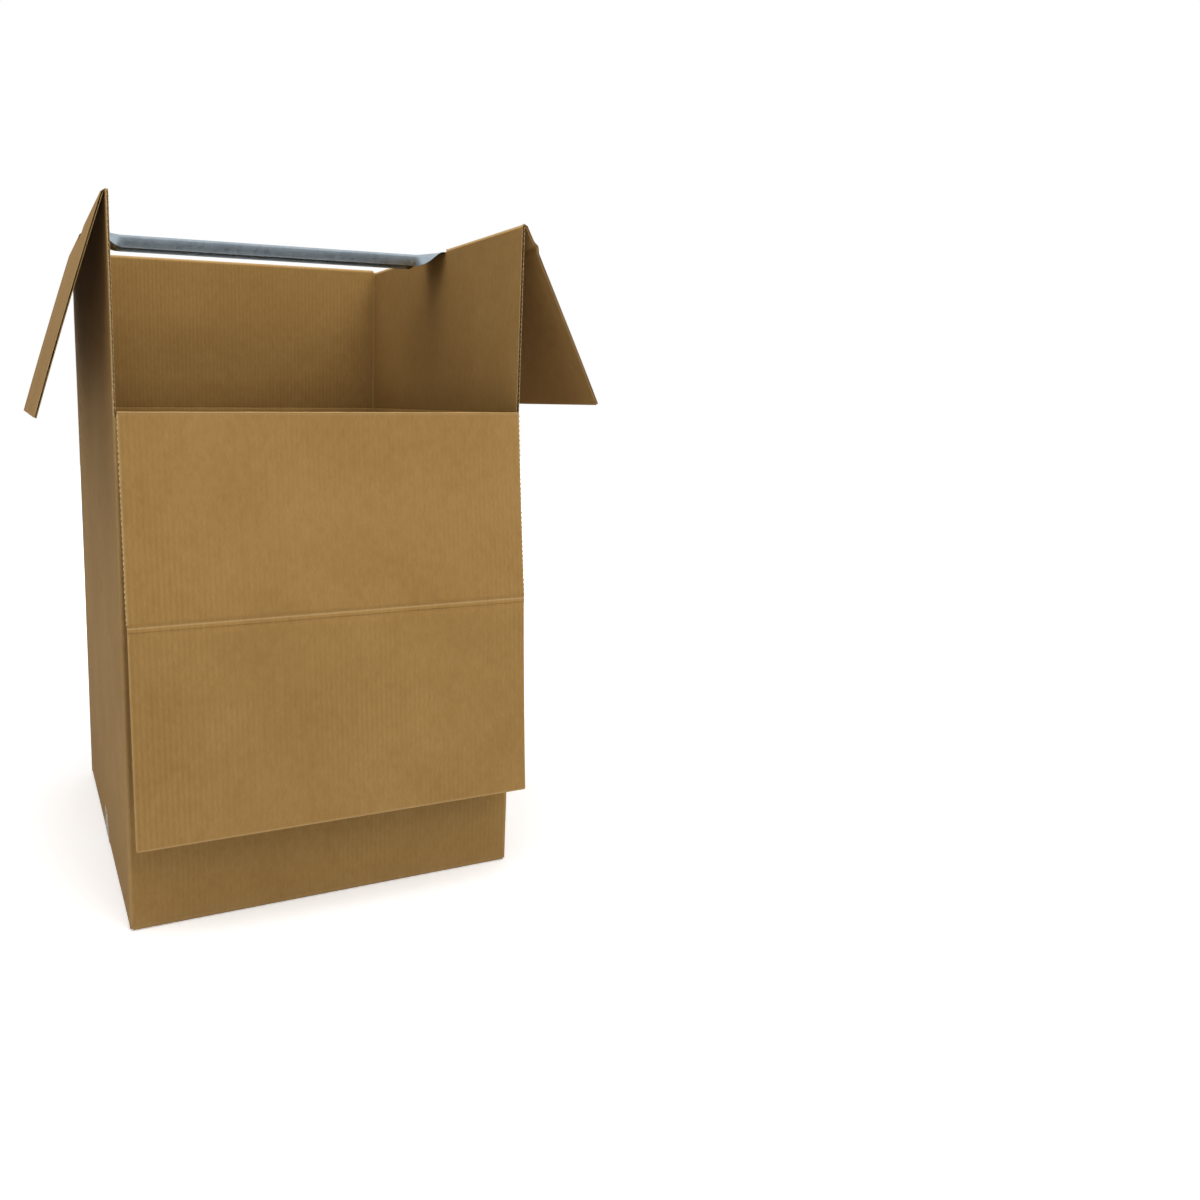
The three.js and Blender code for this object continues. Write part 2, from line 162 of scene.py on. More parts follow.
world = bpy.data.worlds.new("studio")
bpy.context.scene.world = world
world.use_nodes = True
tree = world.node_tree
tree.nodes.clear()
paths = node_of(tree, "LightPath")
clear = math_node(tree, "MAXIMUM", paths.outputs["Is Camera Ray"],
                  paths.outputs["Is Transmission Ray"])
direction = node_of(tree, "TexCoord")
upward = node_of(tree, "SeparateXYZ")
ceiling = range_of(tree, upward.outputs["Z"], CEILING_RISE, (GLOSS_WALLS, GLOSS_CEILING))
ceiling.interpolation_type = "SMOOTHSTEP"
ambient = node_of(tree, "Background", Color=(1.0, 0.99, 0.98, 1), Strength=WORLD_LIGHT)
gloss = node_of(tree, "Background", Color=(0.96, 0.98, 1.0, 1))
white = node_of(tree, "Background", Color=(1, 1, 1, 1), Strength=WORLD_WHITE)
lit = node_of(tree, "MixShader")
either = node_of(tree, "MixShader")
out = node_of(tree, "OutputWorld")
wire(tree, (direction.outputs["Generated"], upward.inputs[0]),
     (ceiling.outputs[0], gloss.inputs["Strength"]), (paths.outputs["Is Glossy Ray"], lit.inputs[0]),
     (ambient.outputs[0], lit.inputs[1]), (gloss.outputs[0], lit.inputs[2]), (clear, either.inputs[0]),
     (lit.outputs[0], either.inputs[1]), (white.outputs[0], either.inputs[2]),
     (either.outputs[0], out.inputs["Surface"]))



def lamp(name, at, target, size, watts, tint=(1, 1, 1)):
    """A soft square lamp that looks at a target. Gloss sees only the world, never the lamp."""
    light = bpy.data.lights.new(name, "AREA")
    light.shape = "SQUARE"
    light.size = size
    light.energy = watts
    light.color = tint
    holder = bpy.data.objects.new(name, light)
    holder.location = at
    holder.rotation_euler = (Vector(target) - Vector(at)).to_track_quat("-Z", "Y").to_euler()
    holder.visible_glossy = False
    bpy.context.scene.collection.objects.link(holder)


lamp("key", (0.9, -2.3, 2.7), (0, 0, 0.7), 1.8, 42, (1.0, 0.97, 0.93))
lamp("top", (-0.45, -0.35, 3.2), (0, 0, 0.6), 3.0, 84, (1.0, 0.98, 0.98))
lamp("back", (-2.0, 2.4, 1.8), (0, 0, 0.6), 1.6, 3, (0.94, 0.97, 1.0))

# %% [markdown]
# The floor is a large pale sheet. It catches a soft shadow near the carton and glows to white away
# from it, like a studio floor that runs up into a white wall.

# %% Floor
FLOOR_HALF = 9.0
FLOOR_GLOW = 0.30
GLOW_REACH = (0.7, 2.6)

floor_mesh = bpy.data.meshes.new("studio_floor")
bm = bmesh.new()
bmesh.ops.create_grid(bm, x_segments=1, y_segments=1, size=FLOOR_HALF)
bm.to_mesh(floor_mesh)
bm.free()
floor = bpy.data.objects.new("studio_floor", floor_mesh)
bpy.context.scene.collection.objects.link(floor)
floor_paint, tree, shader = material_with("floor_paint", Base_Color=(0.9, 0.9, 0.9, 1), Roughness=0.9,
                                          Emission_Color=(1, 1, 1, 1))
paths = node_of(tree, "LightPath")
spot = node_of(tree, "TexCoord")
away = node_of(tree, "VectorMath")
away.operation = "LENGTH"
far = range_of(tree, away.outputs["Value"], GLOW_REACH, (FLOOR_GLOW, 1.0))
glow = times(tree, paths.outputs["Is Camera Ray"], far.outputs[0])
wire(tree, (spot.outputs["Object"], away.inputs[0]), (glow, shader.inputs["Emission Strength"]))
floor_mesh.materials.append(floor_paint)

# %% [markdown]
# Kraft paper is never one flat brown. Fibres clump into faint clouds, single fibres show as short
# light and dark streaks along the web, and the sheet is rubbed paler where it has been folded or
# torn. Faint lines at the flute pitch give the glue's darkening over the flute tips and painted
# light and shade of the washboard. Two node groups hold these effects, so that the liners, the
# flutes and the board seen through the tape share them.

# %% Node groups for paper
FLUTE_PITCH = 0.0077


def group_with(name, numbers, outputs):
    """A shader node group with two vectors and some numbers going in, and named numbers coming out."""
    group = bpy.data.node_groups.new(name, "ShaderNodeTree")
    for label in ("Web", "Place"):
        group.interface.new_socket(label, in_out="INPUT", socket_type="NodeSocketVector")
    for label in numbers:
        socket = group.interface.new_socket(label, in_out="INPUT", socket_type="NodeSocketFloat")
        socket.default_value = 1.0
    for label in outputs:
        group.interface.new_socket(label, in_out="OUTPUT", socket_type="NodeSocketFloat")
    given = group.nodes.new("NodeGroupInput")
    return group, given, group.nodes.new("NodeGroupOutput"), given.outputs["Web"], given.outputs["Place"]


def weighed(tree, a, share_a, b, share_b):
    """The sum of two values, each times its share."""
    return math_node(tree, "ADD", times(tree, a, share_a), times(tree, b, share_b))


def around_half(tree, value, strength):
    """How far a value lies from a half, times a strength."""
    return times(tree, math_node(tree, "SUBTRACT", value, 0.5), strength)


def noise_at(tree, vector, scale, detail, stretch=(1, 1, 1), turned=0.0):
    """Noise whose pattern may be stretched along an axis."""
    placed = node_of(tree, "Mapping", Scale=stretch, Rotation=(0, 0, turned))
    made = node_of(tree, "TexNoise", Scale=scale, Detail=detail, Roughness=0.6)
    wire(tree, (vector, placed.inputs["Vector"]), (placed.outputs[0], made.inputs["Vector"]))
    return made.outputs["Fac"]


def web_of(tree):
    """The piece's own map: each point's place on the flat blank."""
    web = node_of(tree, "UVMap")
    web.uv_map = "web"
    return web.outputs["UV"]


def ramp_of(tree, tone, places, colours):
    """The colour for a tone, from a ramp with colours at given places."""
    ramp = node_of(tree, "ValToRGB")
    stops = ramp.color_ramp.elements
    stops[0].position, stops[1].position = places[0], places[-1]
    for place in places[1:-1]:
        stops.new(place)
    for stop, colour in zip(stops, colours):
        stop.color = colour
    tree.links.new(tone, ramp.inputs[0])
    return ramp.outputs[0]


def bumped(tree, height, strength, distance):
    """Feeds a height to the shader's normal, as a bump of a distance in metres."""
    bump = node_of(tree, "Bump", Strength=strength, Distance=distance)
    shader = tree.nodes["Principled BSDF"]
    wire(tree, (height, bump.inputs["Height"]), (bump.outputs[0], shader.inputs["Normal"]))


def fibre_group():
    """Clouds, streaks and fine grain of paper, as one tone around 0.5 and one height."""
    group, given, result, web, place = group_with("paper_fibre", ("Clouds", "Streaks"), ("Tone", "Height"))
    wide = noise_at(group, place, 7.0, 3.0)
    clumps = noise_at(group, web, 90.0, 3.0, (1, 0.55, 1))
    streaks = noise_at(group, web, 900.0, 2.0, (1, 0.10, 1))
    crossing = noise_at(group, web, 1100.0, 2.0, (0.22, 1, 1), 0.5)
    grain = noise_at(group, web, 2600.0, 1.0)
    cloud = weighed(group, wide, 0.55, clumps, 0.45)
    fine = weighed(group, streaks, 0.6, crossing, 0.4)
    centred = around_half(group, cloud, given.outputs["Clouds"])
    lined = around_half(group, fine, given.outputs["Streaks"])
    tone = math_node(group, "ADD", math_node(group, "ADD", centred, lined), 0.5)
    group.links.new(tone, result.inputs["Tone"])
    group.links.new(weighed(group, fine, 0.6, grain, 0.4), result.inputs["Height"])
    return group


def flute_glue_and_shade_group():
    """Faint lighter and darker lines at the flute pitch: the glue's darkening over the flute tips, and
    painted light and shade of the washboard.
    """
    group, given, result, web, place = group_with("flute_lines", (), ("Line",))
    parts = node_of(group, "SeparateXYZ")
    group.links.new(web, parts.inputs[0])
    drift = noise_at(group, web, 30.0, 2.0, (1, 0.2, 1))
    across = math_node(group, "ADD", parts.outputs["X"], times(group, drift, 0.0012))
    phase = times(group, across, math.tau / FLUTE_PITCH)
    wave = math_node(group, "SINE", phase, 0.0)
    patchy = noise_at(group, place, 5.0, 2.0)
    strength = times(group, math_node(group, "SUBTRACT", patchy, 0.34), 2.2)
    group.links.new(times(group, wave, strength), result.inputs["Line"])
    return group


FIBRE = fibre_group()
FLUTE_GLUE_AND_SHADE = flute_glue_and_shade_group()
print("node groups:", FIBRE.name, FLUTE_GLUE_AND_SHADE.name)

# %% [markdown]
# The liner's colour is a ramp read with the tone of its fibres and its flute lines. The vertex
# attribute "wear" is painted when the board is made: it is 1 on a torn or folded edge and falls off
# within millimetres. Over the top of the access panel's fold it is also a painted highlight.
# Worn paper is paler. Colours are written as linear light.

# %% Paper materials
KRAFT_DARK = (0.190, 0.102, 0.027, 1)
KRAFT_MID = (0.276, 0.160, 0.048, 1)
KRAFT_LIGHT = (0.360, 0.228, 0.085, 1)
KRAFT_WORN = (0.540, 0.385, 0.195, 1)
WORN_STRENGTH = 1.7
TONE_STOPS = (0.22, 0.5, 0.78)


def paper(name, tint, clouds, streaks, lines, relief):
    """A kraft paper: tint is a factor on its colour, relief the height of its fibres in metres."""
    made, tree, shader = material_with(name, Roughness=0.88, Specular_IOR_Level=0.28)
    web = web_of(tree)
    place = node_of(tree, "TexCoord")
    effects = []
    for group in (FIBRE, FLUTE_GLUE_AND_SHADE):
        effect = node_of(tree, "Group")
        effect.node_tree = group
        wire(tree, (web, effect.inputs["Web"]), (place.outputs["Object"], effect.inputs["Place"]))
        effects.append(effect)
    fibre, flute = effects
    set_inputs(fibre, {"Clouds": clouds, "Streaks": streaks})
    # The tone also takes the flute lines: the glue's darkening over the flute tips and painted light and
    # shade of the washboard.
    tone = math_node(tree, "ADD", fibre.outputs["Tone"], times(tree, flute.outputs["Line"], lines))
    kraft = [tuple(c * tint for c in colour[:3]) + (1,) for colour in (KRAFT_DARK, KRAFT_MID, KRAFT_LIGHT)]
    wear = node_of(tree, "Attribute")
    wear.attribute_name = "wear"
    rubbed = times(tree, wear.outputs["Fac"], times(tree, fibre.outputs["Height"], WORN_STRENGTH))
    pale = node_of(tree, "Mix")
    pale.data_type = "RGBA"
    pale.clamp_factor = True
    pale.inputs[7].default_value = KRAFT_WORN
    wire(tree, (rubbed, pale.inputs[0]), (ramp_of(tree, tone, TONE_STOPS, kraft), pale.inputs[6]),
         (pale.outputs[2], shader.inputs["Base Color"]))
    bumped(tree, fibre.outputs["Height"], 0.55, relief)
    return made


# lines sets the strength of the flute lines, which paint light and shade of the washboard as well as the
# glue over the flute tips.
LINER = paper("kraft_liner", tint=1.0, clouds=0.50, streaks=0.42, lines=0.045, relief=0.00022)
FLUTING = paper("kraft_fluting", tint=0.82, clouds=0.5, streaks=0.6, lines=0.0, relief=0.0003)

# %% [markdown]
# The bar is galvanised sheet, drawn through rollers: semi-bright, blue-grey, with fine lines along
# its length and the faint cloudy crystals of the zinc. The tape is clear film: glossy, almost
# see-through, and slightly milky where it has let go of the board.

# %% Steel and tape
ZINC_DARK = (0.330, 0.385, 0.420, 1)
ZINC_LIGHT = (0.440, 0.500, 0.540, 1)
STEEL_ROUGHNESS = 0.20
FILM = (0.62, 0.55, 0.42, 1)
FILM_ALPHA = (0.22, 0.55)
FILM_PATCHES = (0.45, 0.7)
FILM_ROUGHNESS = 0.3


def metal():
    """Galvanised sheet: rolled lines along the web's length over clouds of zinc."""
    made, tree, shader = material_with("galvanised_sheet", Metallic=1.0)
    web = web_of(tree)
    spangle = node_of(tree, "TexVoronoi", Scale=130.0, Randomness=1.0)
    spots = node_of(tree, "SeparateColor")
    wire(tree, (web, spangle.inputs["Vector"]), (spangle.outputs["Color"], spots.inputs[0]))
    lines = noise_at(tree, web, 700.0, 2.0, (0.02, 1, 1))
    clouds = noise_at(tree, web, 22.0, 3.0, (0.6, 1, 1))
    tone = weighed(tree, spots.outputs[0], 0.25, clouds, 0.75)
    colour = ramp_of(tree, tone, (0.25, 0.75), (ZINC_DARK, ZINC_LIGHT))
    rough = math_node(tree, "ADD", weighed(tree, lines, 0.16, spots.outputs[1], 0.08), STEEL_ROUGHNESS)
    wire(tree, (colour, shader.inputs["Base Color"]), (rough, shader.inputs["Roughness"]))
    bumped(tree, lines, 0.3, 0.00008)
    return made


def film():
    """Clear packing tape with milky patches and long soft wrinkles."""
    made, tree, shader = material_with("packing_tape", Base_Color=FILM, Coat_Weight=0.6)
    web = web_of(tree)
    patches = noise_at(tree, web, 45.0, 4.0, (0.5, 1, 1))
    lifted = range_of(tree, patches, FILM_PATCHES, FILM_ALPHA)
    wire(tree, (lifted.outputs[0], shader.inputs["Alpha"]),
         (times(tree, patches, FILM_ROUGHNESS), shader.inputs["Roughness"]))
    bumped(tree, noise_at(tree, web, 160.0, 2.0, (0.2, 1, 1)), 0.5, 0.0003)
    return made


STEEL = metal()
TAPE = film()
print("materials:", [m.name for m in (LINER, FLUTING, STEEL, TAPE)])

# %% [markdown]
# The real carton starts as a flat blank, so each paper here starts flat too. A sheet is a bmesh grid
# in web coordinates: X across the flutes, Y along them. It is cut by planes, the waste is deleted,
# and it gets its thickness while it is flat. Then one function folds it: it takes a point of the
# blank and its depth in the board and gives the point in the carton.

# %% Flat sheets
QUARTER_FLUTE = FLUTE_PITCH / 4
SHARP_ANGLE = math.radians(38)


def flat_sheet(span_x, span_y, step_x, cuts_x=(), cuts_y=(), keep=None):
    """A flat grid over a rectangle, with extra lines where its outline or its bends need them."""
    (x0, x1), (y0, y1) = span_x, span_y
    bm = bmesh.new()
    middle = Matrix.Translation(((x0 + x1) / 2, (y0 + y1) / 2, 0))
    place = middle @ Matrix.Diagonal((x1 - x0, y1 - y0, 1, 1))
    columns = max(1, round((x1 - x0) / step_x))
    bmesh.ops.create_grid(bm, x_segments=columns, y_segments=1, size=0.5, matrix=place)
    lines = [((x, 0, 0), (1, 0, 0)) for x in cuts_x] + [((0, y, 0), (0, 1, 0)) for y in cuts_y]
    for spot, normal in lines:
        bmesh.ops.bisect_plane(bm, geom=bm.verts[:] + bm.edges[:] + bm.faces[:], dist=1e-6,
                               plane_co=spot, plane_no=normal)
    if keep:
        waste = [f for f in bm.faces if not keep(*f.calc_center_median().xy)]
        bmesh.ops.delete(bm, geom=waste, context="FACES")
    return bm


def fold_sheet(bm, thickness, fold, wear=None):
    """Gives a flat sheet its thickness, its web map and its wear, and folds it."""
    bmesh.ops.solidify(bm, geom=bm.faces[:], thickness=thickness)
    low = min(v.co.z for v in bm.verts)
    web = bm.loops.layers.uv.new("web")
    worn = bm.verts.layers.float.new("wear")
    for face in bm.faces:
        for loop in face.loops:
            loop[web].uv = loop.vert.co.xy
    for vert in bm.verts:
        x, y, depth = vert.co.x, vert.co.y, vert.co.z - low
        vert[worn] = wear(x, y) if wear else 0.0
        vert.co = fold(x, y, depth)
    bmesh.ops.recalc_face_normals(bm, faces=bm.faces[:])
    for face in bm.faces:
        face.smooth = True
    for edge in bm.edges:
        edge.smooth = edge.calc_face_angle(0.0) < SHARP_ANGLE
    return bm


def piece_of(name, sheets):
    """One object from folded sheets, each given with its material."""
    mesh = bpy.data.meshes.new(name)
    whole = bmesh.new()
    for bm, material in sheets:
        if material.name not in mesh.materials:
            mesh.materials.append(material)
        for face in bm.faces:
            face.material_index = mesh.materials.find(material.name)
        part = bpy.data.meshes.new("part")
        bm.to_mesh(part)
        bm.free()
        whole.from_mesh(part)
        bpy.data.meshes.remove(part)
    whole.to_mesh(mesh)
    whole.free()
    made = bpy.data.objects.new(name, mesh)
    bpy.context.scene.collection.objects.link(made)
    print(name, "has", sum(len(p.vertices) - 2 for p in mesh.polygons), "triangles")
    return made


# %% [markdown]
# The board is 4 mm of single-wall corrugated: two liners with a wave of fluting between them. Near a
# crease the creasing rule has crushed it, so every layer closes up towards the outer liner there.
# The liners show the flutes as a faint washboard, and no panel is quite flat.

# %% Board section and its layers
BOARD = 0.004
LINER_THICKNESS = 0.00042
FLUTING_THICKNESS = 0.00024
WASHBOARD = 0.00004
CRUSHED = 0.02
CRUSH_REACH = 0.0048
PINCHED = 0.62
PINCH_REACH = 0.002
EDGE_STRIP = 0.012
TEETH_PITCH = 0.0074
TAB_TUCK = 0.0005
TAB_REACH = 0.0015
TORN_REACH = 0.0009
SLIT_SETBACK = 0.0001
RIBBON_DEPTH = 0.006
WANDER_PITCH = 0.19
UNEVEN_SCALE = 4.1
FLUTE_HALF = (BOARD - 2 * LINER_THICKNESS - FLUTING_THICKNESS) / 2 - 2 * WASHBOARD
FLUTE_MIDDLE = BOARD / 2 - FLUTING_THICKNESS / 2


def share(value):
    """A value kept between 0 and 1."""
    return min(1.0, max(0.0, value))


def wander(*spot):
    """Smooth noise at a spot, between -1 and 1."""
    return noise.noise(Vector(spot))


def crush(distance):
    """The share of the board's thickness that is left at a distance from a crease, as on a mitre."""
    return min(1.0, max(CRUSHED, distance / CRUSH_REACH))


def pinch(w, edge_distance):
    """A slit edge, which the knife has pinched together a little."""
    left = min(1.0, PINCHED + (1 - PINCHED) * max(edge_distance, 0.0) / PINCH_REACH)
    return BOARD / 2 + (w - BOARD / 2) * left


def washboard(x):
    """The wave by which the flutes show through a liner."""
    return WASHBOARD * math.cos(math.tau * x / FLUTE_PITCH)


def unevenness(*point):
    """A slow unevenness of a whole panel, the same for every layer of the board."""
    return noise.noise(Vector(point) * UNEVEN_SCALE)


def outer_layer(x, depth):
    """How deep the outer liner lies in the board. The inner liner and the fluting follow."""
    return WASHBOARD + washboard(x) + depth


def inner_layer(x, depth):
    return BOARD - LINER_THICKNESS - WASHBOARD - washboard(x) + depth


def flute_layer(x, depth):
    return FLUTE_MIDDLE + FLUTE_HALF * math.sin(math.tau * x / FLUTE_PITCH) + depth


def teeth_layer(y, depth, seed):
    """The torn fluting along a perforated edge, which sways between the liners at the knife's pitch."""
    ragged = 0.35 * wander(y * 160, seed, 0)
    sway = math.sin(math.tau * y / TEETH_PITCH + seed) + ragged
    return FLUTE_MIDDLE + FLUTE_HALF * max(-1.0, min(1.0, sway)) + depth


def slit_layer(y, depth, seed):
    """The fluting along a slit edge, where the knife wanders slowly off the flutes."""
    sway = math.sin(math.tau * y / WANDER_PITCH + seed) + 0.25 * wander(y * 60, seed, 3)
    return FLUTE_MIDDLE + FLUTE_HALF * max(-1.0, min(1.0, sway)) + depth


# %% [markdown]
# The tube of the carton. Its blank runs from the raw edge of the left wall, round the front, the
# right and the back, to the joint's tab inside the left wall. Below each wall hangs its bottom flap.
# Walking along the blank gives the place and the inward direction for every web coordinate.

# %% The carton's blank
HALF_WIDTH, HALF_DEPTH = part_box("carton_body")[1][:2]
OUTER_CREASE = 1.0205
SIDE_CREASE = OUTER_CREASE - BOARD - 0.0005
PANEL_HEIGHT = 0.285
FOLD_LEVEL = OUTER_CREASE - PANEL_HEIGHT
CREASE_GAP = 0.00015
CREASE_OVERRUN = 0.0008
CORNER_RADIUS = 0.0055
SLOT_HALF = 0.005
SEAM_HALF = 0.0015
NOTCH_DEPTH = 0.006
NOTCH_WIDTH = 0.003
PANEL_INSET = 0.005
RAW_SETBACK = 0.0048
SEAT_LEVEL = 1.0096
SEAT_HALF = 0.0409
JOINT_TAB = 0.0335
JOINT_TAPER = 0.012
JOINT_END_GAP = 0.025
BACK_EDGE_GAP = 0.0015
FOLD_COVER = 0.0012
TAPE_RECESS_HALF = 0.0253
TAPE_RECESS = 0.00034
TAPE_RECESS_EASE = 0.002
WALL_UNEVENNESS = 0.0010
FLAT_FOOT = 0.08
FADE_FOOT = 5
FADE_TOP = 12
FADE_FOLD = 14
TAB_THINNED = 0.25

BEND_LENGTH = CORNER_RADIUS * math.pi / 2
walls = {}


def ahead(heading):
    """The direction of a heading."""
    return Vector((math.cos(heading), math.sin(heading), 0))


def leftward(heading):
    """The direction a quarter turn to the left of a heading, which points into the carton."""
    return Vector((-math.sin(heading), math.cos(heading), 0))


def blank_stretches():
    """The blank's stretches: start, length, place, heading, and whether each bends. Fills in walls."""
    left = 2 * HALF_DEPTH - CORNER_RADIUS - BACK_EDGE_GAP
    front = 2 * (HALF_WIDTH - CORNER_RADIUS)
    side = 2 * (HALF_DEPTH - CORNER_RADIUS)
    back = 2 * HALF_WIDTH - 2 * CORNER_RADIUS - BOARD
    moves = [("left", left), (None, 0), ("front", front), (None, 0), ("right", side), (None, 0),
             ("back", back), (None, 0), ("tab", JOINT_TAB)]
    made = []
    x = 0.0
    spot = Vector((-HALF_WIDTH, HALF_DEPTH - BACK_EDGE_GAP, 0))
    heading = -math.pi / 2
    for name, length in moves:
        made.append((x, length or BEND_LENGTH, spot.copy(), heading, name is None))
        if name:
            walls[name] = x
            spot += ahead(heading) * length
            x += length
        else:
            centre = spot + leftward(heading) * CORNER_RADIUS
            heading += math.pi / 2
            spot = centre - leftward(heading) * CORNER_RADIUS
            x += BEND_LENGTH
    return made, x


STRETCHES, BLANK_END = blank_stretches()
middles = {
    "left": walls["left"] + HALF_DEPTH - BACK_EDGE_GAP,
    "front": walls["front"] + HALF_WIDTH - CORNER_RADIUS,
    "right": walls["right"] + HALF_DEPTH - CORNER_RADIUS,
    "back": walls["back"] + HALF_WIDTH - CORNER_RADIUS,
}
halves = {"left": HALF_DEPTH, "right": HALF_DEPTH, "front": HALF_WIDTH, "back": HALF_WIDTH}


def on_blank(x):
    """The point of the tube's outer face at a web coordinate, and the inward direction there."""
    for start, length, spot, heading, bends in STRETCHES:
        if x <= start + length or start + length >= BLANK_END:
            run = x - start
            if not bends:
                return spot + ahead(heading) * run, leftward(heading)
            inward = leftward(heading + run / CORNER_RADIUS)
            return spot + leftward(heading) * CORNER_RADIUS - inward * CORNER_RADIUS, inward
    raise ValueError(x)


# %% [markdown]
# Folding takes a point of the blank to its place. Up the walls it only goes in by its depth, and the
# bow of the wall fades out towards creases. At the foot it rounds the corner onto the bottom.

# %% Folding the tube
def wall_at(x):
    """The wall whose flaps reach this web coordinate, or None at a corner slot."""
    for name, middle in middles.items():
        if abs(x - middle) < halves[name] - SLOT_HALF + 1e-5:
            return name
    return None


def foot_level(name):
    """How high the bottom flap of a wall lies: the front and back pair is outside."""
    return 0.0 if name in ("front", "back") else BOARD


def fold_body(x, y, w):
    """The blank's point at web x, height y and depth w, folded into the tube and its bottom."""
    point, inward = on_blank(x)
    if x > walls["tab"] - BEND_LENGTH:
        w *= 1 - TAB_THINNED + TAB_THINNED * max(0.0, (walls["tab"] - x) / BEND_LENGTH)
    name = wall_at(x)
    level = foot_level(name) if name else 0.0
    creased = name or wall_at(x - CREASE_OVERRUN) or wall_at(x + CREASE_OVERRUN)
    top = OUTER_CREASE if creased == "back" else SIDE_CREASE
    seated = creased in ("left", "right") and abs(x - middles[creased]) < SEAT_HALF
    if creased not in (None, "front") and not seated:
        w *= crush(top - y)
    bend_top = level + CORNER_RADIUS
    if y >= bend_top or not name:
        sink = WALL_UNEVENNESS * unevenness(point.x, point.y, y) * share((y - FLAT_FOOT) * FADE_FOOT)
        sink *= share((top - y) * FADE_TOP) * share(abs(y - FOLD_LEVEL) * FADE_FOLD)
        return point + inward * (w + sink) + Vector((0, 0, y))
    turned = (bend_top - y) / CORNER_RADIUS
    if turned <= math.pi / 2:
        across = CORNER_RADIUS - (CORNER_RADIUS - w) * math.cos(turned)
        up = bend_top - (CORNER_RADIUS - w) * math.sin(turned)
        return point + inward * across + Vector((0, 0, up))
    across = CORNER_RADIUS + (turned - math.pi / 2) * CORNER_RADIUS
    found = point + inward * across + Vector((0, 0, level + w))
    if level == 0.0:
        found.z += TAPE_RECESS * share(1 + (TAPE_RECESS_HALF - abs(found.y)) / TAPE_RECESS_EASE)
    return found


# %% [markdown]
# The outline of the blank says how far up and down it reaches at each place. A notch at both ends of
# the access panel's fold and the two seats of the bar are part of it. Grid lines are added where the
# outline or the bend changes, so that no face is cut across.

# %% Outline of the blank
RAW_EDGES = ((walls["front"] - RAW_SETBACK, 1), (walls["right"] - BEND_LENGTH + RAW_SETBACK, -1))


def top_of(x):
    """Where the blank ends above the tube at a web coordinate."""
    if x > walls["tab"]:
        return SIDE_CREASE - JOINT_END_GAP - JOINT_TAPER * (x - walls["tab"]) / JOINT_TAB
    if RAW_EDGES[0][0] < x < RAW_EDGES[1][0]:
        edge = abs(x - middles["front"]) - (HALF_WIDTH - PANEL_INSET)
        drop = NOTCH_DEPTH if 0 < edge < NOTCH_WIDTH else FOLD_COVER if edge < 0 else 0
        return FOLD_LEVEL - CREASE_GAP - drop
    name = wall_at(x)
    if name == "back":
        return OUTER_CREASE - CREASE_GAP
    if name in ("left", "right") and abs(x - middles[name]) < SEAT_HALF:
        return SEAT_LEVEL
    return SIDE_CREASE - CREASE_GAP


def foot_of(x):
    """Where the blank ends below: at the bottom flap's edge, or at the corner's slot."""
    if x > walls["tab"]:
        return 2 * BOARD + JOINT_END_GAP + JOINT_TAPER * (x - walls["tab"]) / JOINT_TAB
    name = wall_at(x)
    if name is None:
        return BOARD
    across = HALF_DEPTH if name in ("front", "back") else HALF_WIDTH
    return foot_level(name) + CORNER_RADIUS - BEND_LENGTH - (across - CORNER_RADIUS - SEAM_HALF)


CRUSH_STEPS = (0.35, 0.7, 1.0)
SCORE_ROWS = (0.0008, 0.0025, -0.0025)
FOOT_ROWS = (0.08, 0.2, 0.2748, 0.2768)
WALL_ROWS = (0.08, 0.24, 0.4, 0.56, 0.7, 0.8, 0.9, 0.98)


def body_lines():
    """The web lines where the outline or the shape of the tube changes."""
    xs = [edge for edge, way in RAW_EDGES]
    for start, length, spot, heading, bends in STRETCHES:
        xs += [start + length * i / 4 for i in range(5)] if bends else [start]
    for name, middle in middles.items():
        reach = halves[name] - SLOT_HALF
        offsets = [reach, reach + CREASE_OVERRUN * 0.95]
        offsets += [SEAT_HALF] if name in ("left", "right") else []
        offsets += [HALF_WIDTH - PANEL_INSET + d for d in (0, NOTCH_WIDTH)] if name == "front" else []
        xs += [middle + hand * offset for hand in (-1, 1) for offset in offsets]
    ys = [BOARD, 2 * BOARD + JOINT_END_GAP, SEAT_LEVEL, SIDE_CREASE - CREASE_GAP, OUTER_CREASE - CREASE_GAP]
    ys += [FOLD_LEVEL - CREASE_GAP - drop for drop in (0, FOLD_COVER, NOTCH_DEPTH)]
    ys += [SIDE_CREASE - CRUSH_REACH * f for f in CRUSH_STEPS]
    ys += [OUTER_CREASE - CRUSH_REACH * f for f in CRUSH_STEPS[:2]]
    ys += [FOLD_LEVEL + d for d in SCORE_ROWS]
    for level in (0.0, BOARD):
        ys += [level + CORNER_RADIUS - BEND_LENGTH * i / 4 for i in range(5)]
        ys += [level + CORNER_RADIUS - BEND_LENGTH - d for d in FOOT_ROWS]
    return xs, ys + list(WALL_ROWS)


# %% [markdown]
# Wear is painted in web coordinates: the paper is pale along folds, along torn perforations and at
# cut edges, and sound everywhere else.

# %% Wear of the tube
def near(value, line, reach):
    """1 on a line, falling to 0 at its reach."""
    return max(0.0, 1.0 - abs(value - line) / reach)


def worn(value, line, mark):
    """The wear along a line, given as its strength on the line and its reach."""
    return mark[0] * near(value, line, mark[1])


CREASE_WEAR = (0.75, 0.004)
FOOT_WEAR = (0.35, 0.012)
RAW_WEAR = (0.9, 0.0022)
CORNER_WEAR = (0.30, 0.006)


